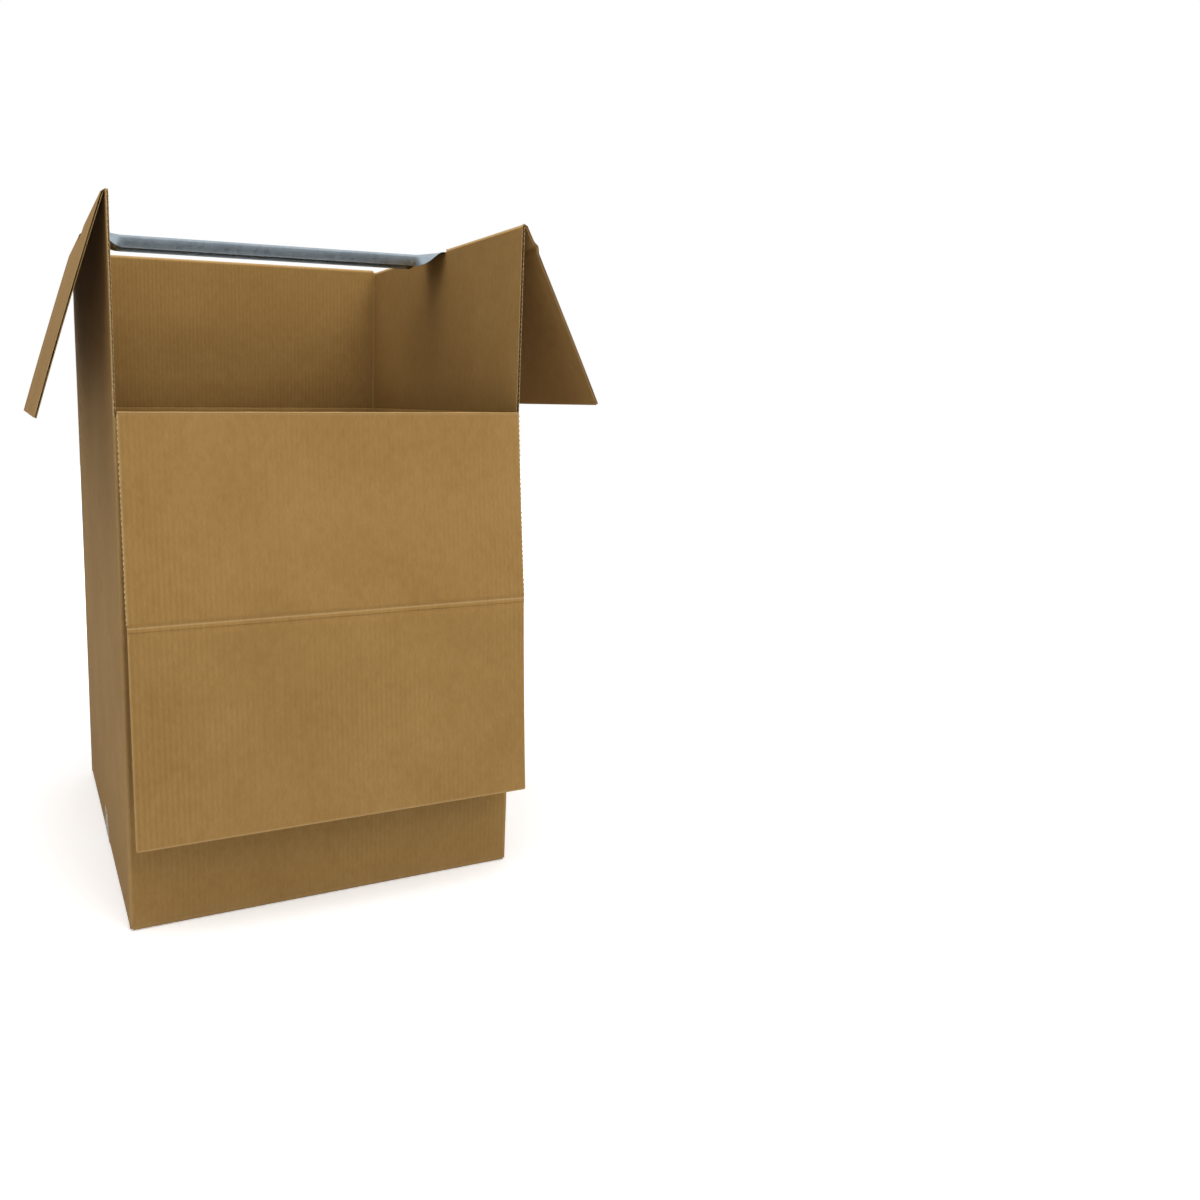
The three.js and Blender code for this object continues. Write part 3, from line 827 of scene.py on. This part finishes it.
def body_wear(x, y):
    """The wear of the tube, where it is creased, cut, bent or set down."""
    name = wall_at(x)
    crease = OUTER_CREASE if name == "back" else SIDE_CREASE
    marks = [worn(y, crease, CREASE_WEAR), worn(y, foot_level(name) if name else 0, FOOT_WEAR)]
    if y > FOLD_LEVEL - NOTCH_DEPTH:
        marks += [worn(x, edge, RAW_WEAR) for edge, way in RAW_EDGES]
    marks += [worn(x, start + length / 2, CORNER_WEAR)
              for start, length, spot, heading, bends in STRETCHES if bends]
    return max(marks)


# %% [markdown]
# The tube itself: the same cut blank is folded twice, once at the outside and once at the inside of
# the board. The inner liner also takes the crease line that the rule pressed all round, level with
# the fold of the access panel.

# %% Make the tube
SCORE_DEPTH = 0.0008
SCORE_HALF = 0.0022
BLANK_HEIGHT = (-0.305, OUTER_CREASE + 0.001)


def body_sheet(layer, press=0.0):
    """One liner of the whole tube, with the score line pressed into it."""
    bm = flat_sheet((0, BLANK_END), BLANK_HEIGHT, QUARTER_FLUTE, *body_lines(),
                    keep=lambda x, y: foot_of(x) < y < top_of(x))

    def fold(x, y, depth):
        scored = wall_at(x) not in (None, "front") and x < walls["tab"]
        pressed = press * near(y, FOLD_LEVEL, SCORE_HALF) if scored else 0.0
        return fold_body(x, y, layer(x, depth) - pressed)

    return fold_sheet(bm, LINER_THICKNESS, fold, body_wear)


walls_outside = piece_of("carton_outer_liner", [(body_sheet(outer_layer), LINER)])
walls_inside = piece_of("carton_inner_liner", [(body_sheet(inner_layer, SCORE_DEPTH), LINER)])
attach(walls_outside, "carton")
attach(walls_inside, "carton")
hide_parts("carton_body")


# %% [markdown]
# The fluting shows only at cut edges, so it is made as strips there. Across the flutes a strip is the
# wave itself. Along them it is a ribbon: on a perforated edge the knife's teeth have torn the fluting
# to and fro, which gives the dotted edge of the photograph.

# %% Fluting at the cut edges
FRAY = 0.0004


def rows_between(span, step):
    """The levels that part a span into steps of about one length."""
    count = int((span[1] - span[0]) / step)
    return [span[0] + (span[1] - span[0]) * i / count for i in range(1, count)]


def wave_strip(span_x, edge_y, inward, fold):
    """Fluting behind a cut edge that runs across the flutes. inward is +1 or -1 along Y."""
    ys = sorted((edge_y, edge_y + inward * EDGE_STRIP))
    bm = flat_sheet(span_x, ys, FLUTE_PITCH / 8)
    for vert in bm.verts:
        if abs(vert.co.y - edge_y) < 1e-5:
            vert.co.y += inward * FRAY * abs(wander(vert.co.x * 300, edge_y, 0))
    return fold_sheet(bm, FLUTING_THICKNESS, lambda x, y, d: fold(x, y, flute_layer(x, d)))


def edge_ribbon(edge_x, inward, span_y, fold, layer, seed):
    """Fluting at a cut edge that runs along the flutes. inward is +1 or -1 along X."""
    start = -TORN_REACH if layer is teeth_layer else SLIT_SETBACK
    xs = sorted((edge_x + inward * start, edge_x + inward * RIBBON_DEPTH))
    bm = flat_sheet(xs, span_y, RIBBON_DEPTH / 2, cuts_y=rows_between(span_y, TEETH_PITCH / 6))
    for vert in bm.verts:
        if abs(vert.co.x - edge_x) < RIBBON_DEPTH / 2:
            vert.co.x += inward * TORN_REACH * abs(wander(edge_x, vert.co.y * 220, seed))
    torn = 1.0 if layer is teeth_layer else 0.5
    return fold_sheet(bm, FLUTING_THICKNESS, lambda x, y, d: fold(x, y, layer(y, d, seed)),
                      lambda x, y: torn)


def torn_tabs(edge_x, outward, span_y, fold, layer, seed):
    """Small tabs of liner that stand out between the teeth of the perforating knife."""
    tucked = edge_x - outward * TAB_TUCK
    bm = flat_sheet(sorted((tucked, edge_x + outward * TAB_REACH)), span_y, TAB_REACH * 2,
                    cuts_y=rows_between(span_y, TEETH_PITCH / 8))
    for vert in bm.verts:
        if abs(vert.co.x - tucked) > TAB_TUCK / 2:
            tooth = max(0.0, math.sin(math.tau * vert.co.y / TEETH_PITCH + seed)) ** 0.5
            ragged = 0.75 + 0.5 * wander(vert.co.y * 190, seed, edge_x)
            vert.co.x = edge_x + outward * TAB_REACH * max(0.04, tooth * ragged)
    return fold_sheet(bm, LINER_THICKNESS * 0.9, lambda x, y, d: fold(x, y, layer(x, d)), lambda x, y: 0.9)


def body_tabs():
    """The tabs along the raw front edges of both side walls, on both liners."""
    span = (FOLD_LEVEL + 0.001, SIDE_CREASE - CRUSH_REACH)
    return [(torn_tabs(edge, way, span, fold_body, layer, seed), LINER)
            for edge, way in RAW_EDGES for seed, layer in enumerate((outer_layer, inner_layer))]


def body_fluting():
    """The fluting of the bottom flaps' edges, the bar's seats, the raw edges and the joint's edge."""
    sheets = []
    for name in ("front", "back", "left", "right"):
        middle, reach, end = middles[name], halves[name] - SLOT_HALF, foot_of(middles[name])
        sheets.append(wave_strip((middle - reach, middle + reach), end, 1, fold_body))
        for hand in (-1, 1):
            sheets.append(edge_ribbon(middle + hand * reach, -hand, (end, foot_level(name)), fold_body,
                                      slit_layer, hand))
    for name in ("left", "right"):
        seat = (middles[name] - SEAT_HALF, middles[name] + SEAT_HALF)
        sheets.append(wave_strip(seat, SEAT_LEVEL, -1, fold_body))
    above_fold = (FOLD_LEVEL - NOTCH_DEPTH, SIDE_CREASE - CRUSH_REACH)
    for seed, (edge, way) in enumerate(RAW_EDGES, 1):
        sheets.append(edge_ribbon(edge, -way, above_fold, fold_body, teeth_layer, seed))
    above_bottom = (2 * BOARD, SIDE_CREASE - CRUSH_REACH)
    sheets.append(edge_ribbon(0.0, 1, above_bottom, fold_body, slit_layer, 5))
    return [(bm, FLUTING) for bm in sheets]


walls_fluting = piece_of("carton_fluting", body_fluting() + body_tabs())
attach(walls_fluting, "carton")

# %% [markdown]
# A short dark scuff stands upright on the left wall: a sliver of the liner that a corner has torn.

# %% Scuff on the left wall
SCUFF_MIDDLE = (0.3585, 0.458)
SCUFF_HALF = (0.0008, 0.0105)
SCUFF_THICKNESS = 0.00035
SCUFF_PROUD = 0.7 * SCUFF_THICKNESS


def scuff():
    (middle_x, middle_y), (half_x, half_y) = SCUFF_MIDDLE, SCUFF_HALF
    rows = [middle_y + half_y * i / 5 for i in range(-4, 5)]
    bm = flat_sheet((middle_x - half_x, middle_x + half_x), (middle_y - half_y, middle_y + half_y),
                    half_x, cuts_y=rows)
    for vert in bm.verts:
        t = (vert.co.y - middle_y) / half_y
        drift = half_x * wander(0, t * 2, 7)
        vert.co.x = middle_x + drift + (vert.co.x - middle_x) * (1.05 - t * t)
    return fold_sheet(bm, SCUFF_THICKNESS,
                      lambda x, y, d: fold_body(x, y, outer_layer(x, d) - SCUFF_PROUD))


torn = piece_of("left_wall_scuff", [(scuff(), FLUTING)])
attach(torn, "carton")


# %% [markdown]
# A flap is a small blank of its own. Its web coordinates are measured from the middle of its crease,
# and a matrix stands it at the crease, turned to its side of the carton and folded out by its angle.

# %% Flaps
FLAP_LENGTH = 0.3035
FLAP_HALF = 0.300
FREE_CORNER = 0.003
LIP_SLOT_HALF = 0.0429
LIP_SLOT_REACH = 0.0171
SIDE_FLAP_BOW = 0.0014
OUTER_FLAP_BOW = -0.0014
LEFT_SPREAD = 18
RIGHT_SPREAD = 28
BACK_SPREAD = 12
PANEL_SPREAD = 7
FRONT_FLAP_SPREAD = 4.5
DENT_AT = 0.039
DENT_HEIGHT = 0.0036
DENT_REACH = (0.028, 0.0065)
DENT_ROW = 0.0035
STRIP_SETBACK = 0.0002
CORNER_STEPS = (0.05, 0.2, 0.5, 1.0)
ROOT_WEAR = (0.8, 0.0035)
TIP_WEAR = (0.4, 0.003)
SIDE_WEAR = (0.4, 0.0025)


def standing(joint, turn, spread):
    """The matrix of a flap: at its crease, turned to its side, folded out to an angle off its wall."""
    return (
        Matrix.Translation(joints[joint]["pos_m"])
        @ Matrix.Rotation(math.radians(turn), 4, "Z")
        @ Matrix.Rotation(math.radians(180 - spread), 4, "X")
    )


panel_place = standing("drop_panel_fold", 0, PANEL_SPREAD)
front_place = (
    panel_place
    @ Matrix.Translation((0, 0, PANEL_HEIGHT))
    @ Matrix.Rotation(math.radians(PANEL_SPREAD - FRONT_FLAP_SPREAD), 4, "X")
)


def flap_fold(place, length, bow, panel, dent):
    """The fold function of a flap: crushed at its crease, gently bowed, perhaps dented, and placed."""

    def fold(x, y, w):
        if panel:
            w *= crush(length - y)
        else:
            w = pinch(w, FLAP_HALF - abs(x)) * crush(y)
        free = math.sin(math.pi * share(y / length))
        w += bow * free * (1 + 0.6 * unevenness(x, y, length))
        if dent:
            w += DENT_HEIGHT * math.exp(-((y - dent[1]) / DENT_REACH[1]) ** 2
                                        - ((x - dent[0]) / DENT_REACH[0]) ** 2)
        return place @ Vector((x, w, y))

    return fold


def tip_line(x, length):
    """The free end of a flap, round at its corners."""
    over = max(0.0, abs(x) - (FLAP_HALF - FREE_CORNER))
    return length - FREE_CORNER + math.sqrt(max(0.0, FREE_CORNER ** 2 - over ** 2))


def flap_sheets(place, length, slotted=False, panel=False, dent=None):
    """The two liners and the edge fluting of one flap. Shut, the side flaps sag and the others rise."""
    fold = flap_fold(place, length, SIDE_FLAP_BOW if slotted else OUTER_FLAP_BOW, panel, dent)
    base = FOLD_COVER if panel else CREASE_GAP
    span_y = (base, length - (CREASE_GAP if panel else 0))
    corner = [FLAP_HALF - FREE_CORNER * f for f in CORNER_STEPS]
    xs = [hand * x for hand in (-1, 1) for x in corner + ([LIP_SLOT_HALF] if slotted else [])]
    ys = [base + CRUSH_REACH * f for f in CRUSH_STEPS] + [LIP_SLOT_REACH, DENT_AT]
    ys += [DENT_AT + DENT_ROW * i for i in (-3, -2, -1, 1, 2, 3)] if dent else []
    ys += [length * i / 8 for i in range(1, 8)] + [length - CRUSH_REACH * f for f in CRUSH_STEPS]
    keep = (lambda x, y: abs(x) > LIP_SLOT_HALF or y > LIP_SLOT_REACH) if slotted else None

    def wear(x, y):
        return max(worn(y, 0, ROOT_WEAR), worn(y, length, TIP_WEAR), worn(abs(x), FLAP_HALF, SIDE_WEAR))

    sheets = []
    for layer in (outer_layer, inner_layer):
        bm = flat_sheet((-FLAP_HALF, FLAP_HALF), span_y, QUARTER_FLUTE, xs, ys, keep)
        if not panel:
            for vert in bm.verts:
                vert.co.y = min(vert.co.y, tip_line(vert.co.x, length))
        sheets.append((fold_sheet(bm, LINER_THICKNESS,
                                  lambda x, y, d, layer=layer: fold(x, y, layer(x, d)), wear), LINER))
    inside = FLAP_HALF - FREE_CORNER
    rise = (base, length - CRUSH_REACH) if panel else (CRUSH_REACH, length - FREE_CORNER)
    edge_layer = teeth_layer if panel else slit_layer
    for hand in (-1, 1):
        edge = hand * FLAP_HALF
        sheets.append((edge_ribbon(edge, -hand, rise, fold, edge_layer, 3 + hand), FLUTING))
        for seed, layer in enumerate((outer_layer, inner_layer) if panel else ()):
            sheets.append((torn_tabs(edge, hand, rise, fold, layer, seed + 2), LINER))
    if not panel:
        sheets.append((wave_strip((-inside, inside), length - STRIP_SETBACK, -1, fold), FLUTING))
    if slotted:
        slot = (-LIP_SLOT_HALF, LIP_SLOT_HALF)
        sheets.append((wave_strip(slot, LIP_SLOT_REACH + STRIP_SETBACK, 1, fold), FLUTING))
    return sheets


def make_flap(name, place, length, **options):
    """The board of a flap, which rides on the body of its name and replaces its node."""
    made = piece_of(name + "_board", flap_sheets(place, length, **options))
    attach(made, name)
    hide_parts(name)


make_flap("left_flap", standing("left_flap_crease", 270, LEFT_SPREAD), FLAP_LENGTH, slotted=True)
make_flap("right_flap", standing("right_flap_crease", 90, RIGHT_SPREAD), FLAP_LENGTH, slotted=True,
          dent=(-FLAP_HALF, DENT_AT))
make_flap("back_flap", standing("back_flap_crease", 180, BACK_SPREAD), FLAP_LENGTH)
make_flap("drop_panel", panel_place, PANEL_HEIGHT, panel=True)
make_flap("front_flap", front_place, FLAP_LENGTH)


# %% [markdown]
# Where the access panel folds right over, its inner liner is stretched round the top of the wall. It
# is a narrow strip on a Bezier curve between the two boards. The crease between the panel and the
# front flap is bridged in the same way, with a shallow trough pressed into it.

# %% Paper over the two front creases
COVER_HANDLE = 0.0021
COVER_ROWS = 10
TROUGH_DEPTH = 0.0011
PAPER_UNEVENNESS = 0.00025
PAPER_OVERLAP = 0.0004
# The paper over the panel's fold is paler over its middle: worn, and a painted highlight along the top of
# the fold.
COVER_WEAR_AND_HIGHLIGHT = (1.0, 0.4)
TROUGH_WEAR = (0.55, 0.16)


def curve_point(points, t):
    """A point of a cubic Bezier curve."""
    a, b, c, d = points
    return a * (1 - t) ** 3 + b * (3 * t * (1 - t) ** 2) + c * (3 * t * t * (1 - t)) + d * t ** 3


def bridging_sheet(start, start_way, end, end_way, mark, dip=Vector()):
    """A strip along X on a curve in Y and Z. The reach of its wear is a share of its length."""
    points = (start, start + start_way, end + end_way, end)
    length = (end - start).length
    rows = [length * i / COVER_ROWS for i in range(1, COVER_ROWS)]
    bm = flat_sheet((-FLAP_HALF, FLAP_HALF), (0, length), QUARTER_FLUTE, cuts_y=rows)

    def fold(x, y, depth):
        t = share(y / length)
        way = curve_point(points, share(t + 0.01)) - curve_point(points, share(t - 0.01))
        inward = Vector((0, way.z, -way.y)).normalized()
        uneven = PAPER_UNEVENNESS * wander(x * 40, t * 3, length) * math.sin(math.pi * t)
        spot = curve_point(points, t) + inward * (depth - washboard(x) * 0.5 + uneven)
        spot += dip * (0.5 * (1 - math.cos(math.tau * t)))
        return Vector((x, spot.y, spot.z))

    return fold_sheet(bm, LINER_THICKNESS, fold,
                      lambda x, y: worn(y, length / 2, (mark[0], length * mark[1])))


def in_board(place, y, w):
    """A point of a flap's middle line, at a height above its root and a depth in its board."""
    return place @ Vector((0, w, y))


wall_end = Vector((0, -HALF_DEPTH + BOARD, FOLD_LEVEL - FOLD_COVER - PAPER_OVERLAP))
panel_start = in_board(panel_place, FOLD_COVER + PAPER_OVERLAP, BOARD)
panel_up = (in_board(panel_place, 0, BOARD) - in_board(panel_place, 1, BOARD)).normalized()
handle = COVER_HANDLE + PAPER_OVERLAP
# Its paleness is wear and also a painted highlight along the fold's top.
cover_sheet = bridging_sheet(wall_end, Vector((0, 0, handle)), panel_start, panel_up * handle, COVER_WEAR_AND_HIGHLIGHT)
cover = piece_of("panel_fold_paper", [(cover_sheet, LINER)])
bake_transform(cover)

trough_top = in_board(panel_place, PANEL_HEIGHT - CRUSH_REACH - PAPER_OVERLAP, BOARD)
trough_foot = in_board(front_place, CRUSH_REACH + PAPER_OVERLAP, BOARD)
down = (trough_foot - trough_top) * 0.33
into = (in_board(front_place, 0, 0) - in_board(front_place, 0, BOARD)).normalized()
trough_sheet = bridging_sheet(trough_top, down, trough_foot, -down, TROUGH_WEAR, into * TROUGH_DEPTH)
trough = piece_of("front_crease_paper", [(trough_sheet, LINER)])
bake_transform(trough)


# %% [markdown]
# At the other creases the flap turns through more than half a turn. There the crushed paper is a fine
# round thread on the line of the crease, which looks the same whichever way the flap lies.

# %% Threads along the wall creases
THREAD_RADIUS = 0.000145
THREAD_SIDES = 6
BACK_THREAD_DROP = 0.00045


def thread(start, end):
    """A thin round thread of paper between two points."""
    way = Vector(end) - Vector(start)
    turn = way.to_track_quat("X", "Z").to_matrix()
    rim = math.tau * THREAD_RADIUS
    bm = flat_sheet((0, way.length), (0, rim), 0.02,
                    cuts_y=[rim * i / THREAD_SIDES for i in range(1, THREAD_SIDES)])

    def fold(x, y, depth):
        angle = y / THREAD_RADIUS
        radius = (THREAD_RADIUS - depth) * (0.9 + 0.1 * wander(x * 90, 0, 0))
        return Vector(start) + turn @ Vector((x, radius * math.cos(angle), radius * math.sin(angle)))

    return fold_sheet(bm, THREAD_RADIUS * 0.4, fold, lambda x, y: 0.8), LINER


def crease_threads():
    """Threads on both side creases, before and behind the bar, and one along the back crease."""
    spans = [(hand * HALF_WIDTH, *ends) for hand in (-1, 1)
             for ends in ((-FLAP_HALF, -SEAT_HALF), (SEAT_HALF, FLAP_HALF))]
    made = [thread((x, near_y, SIDE_CREASE), (x, far_y, SIDE_CREASE)) for x, near_y, far_y in spans]
    back_z = OUTER_CREASE - BACK_THREAD_DROP
    made.append(thread((-FLAP_HALF, HALF_DEPTH, back_z), (FLAP_HALF, HALF_DEPTH, back_z)))
    return made


threads = piece_of("crease_beads", crease_threads())
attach(threads, "carton")

# %% [markdown]
# The hanger bar is one strip of 0.8 mm sheet. In the middle it is a channel whose legs end in a hem.
# Towards each end the channel opens out flat, steps up onto the wall and hooks over it. It is folded
# from a flat strip too: along X it runs out to the lip, and across Y it bends into the legs and hems.

# %% Hanger bar
SHEET = 0.0008
BAR_HALF_WEB = 0.0175
BAR_BEND = 0.0041 * math.pi / 2
BAR_LEG = 0.0155
BAR_HALF = BAR_HALF_WEB + BAR_BEND + BAR_LEG
HEM = 0.004
HEM_ROUND = SHEET / 2 * math.pi
PLATE_TOP = SEAT_LEVEL + 2 * SHEET
BAR_STEP = 0.0048
FLARE = 0.048
FLARE_END = HALF_WIDTH - BOARD - 0.004
LIP_RADIUS = 0.0024
LIP_DROP = 0.010
LIP_OVERHANG = 0.005
LIP_START = HALF_WIDTH + LIP_OVERHANG - LIP_RADIUS
LIP_BEND = LIP_RADIUS * math.pi / 2
BAR_END = LIP_START + LIP_BEND + LIP_DROP - LIP_RADIUS
HEM_CLEARANCE = 0.06


def bar_station(run):
    """Along the bar, from its middle: place of the web's top, lean, and how far the legs are down."""
    t = share((run - (FLARE_END - FLARE)) / FLARE)
    rise = t * t * (3 - 2 * t)
    top = PLATE_TOP - BAR_STEP * (1 - rise)
    legs = math.pi / 2 * (1 - rise)
    if run <= LIP_START:
        return run, top, 0.0, legs
    lean = min(math.pi / 2, (run - LIP_START) / LIP_RADIUS)
    down = max(0.0, run - LIP_START - LIP_BEND)
    return (LIP_START + LIP_RADIUS * math.sin(lean), PLATE_TOP - LIP_RADIUS * (1 - math.cos(lean)) - down,
            lean, 0.0)


def bar_section(distance, legs):
    """Across the bar, from its middle: place on the sheet's middle surface and the turn of the leg."""
    bent = min(max(distance - BAR_HALF_WEB, 0.0), BAR_BEND)
    turned = legs * bent / BAR_BEND
    radius = BAR_BEND / legs if legs > 1e-4 else 0.0
    straight = max(distance - BAR_HALF_WEB - BAR_BEND, 0.0)
    across = radius * math.sin(turned) if radius else bent
    down = radius * (1 - math.cos(turned)) if radius else 0.0
    flat = min(distance, BAR_HALF_WEB)
    return (flat + across + straight * math.cos(turned),
            -SHEET / 2 - down - straight * math.sin(turned), turned)


def fold_bar(x, y, depth):
    """The strip's point at run x, developed width y and depth, as the finished bar."""
    along, top, lean, legs = bar_station(abs(x))
    distance = abs(y)
    hem_start = BAR_HALF - SHEET
    across, up, turned = bar_section(min(distance, hem_start), legs)
    outward = Vector((math.sin(turned), math.cos(turned)))
    forward = Vector((math.cos(turned), -math.sin(turned)))
    spot = Vector((across, up))
    side = SHEET / 2 - depth
    if distance > hem_start:
        swing = min(math.pi, (distance - hem_start) / (SHEET / 2))
        centre = spot - outward * (SHEET / 2)
        normal = outward * math.cos(swing) + forward * math.sin(swing)
        back = max(0.0, distance - hem_start - HEM_ROUND)
        spot = centre + normal * (SHEET / 2) - forward * back
        outward = normal
    spot = spot + outward * side
    hand = 1 if x >= 0 else -1
    return Vector((hand * (along + spot.y * math.sin(lean)), math.copysign(spot.x, y or 1),
                   top + spot.y * math.cos(lean)))


def make_bar():
    """The bar's strip, cut across where it bends and folded."""
    full = BAR_HALF - SHEET + HEM_ROUND + HEM
    bends = [BAR_HALF_WEB + BAR_BEND * i / 6 for i in range(7)]
    bends += [BAR_HALF - SHEET + HEM_ROUND * i / 6 for i in range(7)]
    cuts_y = [hand * y for hand in (-1, 1) for y in bends]
    runs = [FLARE_END - FLARE + FLARE * i / 20 for i in range(21)]
    runs += [LIP_START + LIP_BEND * i / 6 for i in range(7)]
    cuts_x = [hand * x for hand in (-1, 1) for x in runs]
    bm = flat_sheet((-BAR_END, BAR_END), (-full, full), 0.04, cuts_x, cuts_y)
    return fold_sheet(bm, SHEET * (1 - HEM_CLEARANCE), fold_bar)


bar = piece_of("hanger_bar_sheet", [(make_bar(), STEEL)])
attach(bar, "carton")
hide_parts("hanger_bar")


# %% [markdown]
# One strip of clear tape closes the bottom. It runs along the seam and a hand's width up both side
# walls, where the dispenser's teeth have left its ends ragged.

# %% Bottom tape
TAPE_FILM = 0.00014
TAPE_LIFT = 0.00006
TAPE_CORNER = 0.0053
TAPE_RISE = 0.052
TAPE_TOOTH = 0.0025
TAPE_TOOTH_DEPTH = 0.0012
TAPE_WRINKLE = 0.00012
TAPE_HALF = 0.025
TAPE_FLAT = HALF_WIDTH - 0.005
TAPE_BEND = TAPE_CORNER * math.pi / 2


def fold_tape(x, y, depth):
    """The tape's point at run x from the middle of the seam and y across it."""
    run = abs(x)
    lift = TAPE_LIFT + depth
    if run <= TAPE_FLAT:
        spot = (run, lift)
    elif run <= TAPE_FLAT + TAPE_BEND:
        angle = (run - TAPE_FLAT) / TAPE_CORNER
        radius = TAPE_CORNER - lift
        spot = (TAPE_FLAT + radius * math.sin(angle), TAPE_CORNER - radius * math.cos(angle))
    else:
        wrinkle = TAPE_WRINKLE * abs(wander(x * 60, y * 200, 1))
        spot = (TAPE_FLAT + TAPE_CORNER - lift + wrinkle, TAPE_CORNER + run - TAPE_FLAT - TAPE_BEND)
    return Vector((math.copysign(spot[0], x), y, spot[1]))


def make_tape():
    """The tape's strip, cut where it bends, with a ragged tooth line at both ends."""
    end = TAPE_FLAT + TAPE_BEND + TAPE_RISE - TAPE_CORNER
    bends = [TAPE_FLAT + TAPE_BEND * i / 8 for i in range(9)]
    rises = [TAPE_FLAT + TAPE_BEND + 0.004 * i for i in range(1, 12)]
    cuts_x = [hand * x for hand in (-1, 1) for x in bends + rises]
    teeth = int(2 * TAPE_HALF / (TAPE_TOOTH / 2))
    cuts_y = [-TAPE_HALF + 2 * TAPE_HALF * i / teeth for i in range(1, teeth)]
    bm = flat_sheet((-end, end), (-TAPE_HALF, TAPE_HALF), 0.08, cuts_x, cuts_y)
    for vert in bm.verts:
        if abs(abs(vert.co.x) - end) < 1e-5:
            step = round((vert.co.y + TAPE_HALF) / (TAPE_TOOTH / 2))
            vert.co.x -= math.copysign(TAPE_TOOTH_DEPTH * (step % 2), vert.co.x)
    return fold_sheet(bm, TAPE_FILM, fold_tape)


strip = piece_of("bottom_tape_film", [(make_tape(), TAPE)])
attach(strip, "carton")
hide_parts("bottom_tape")
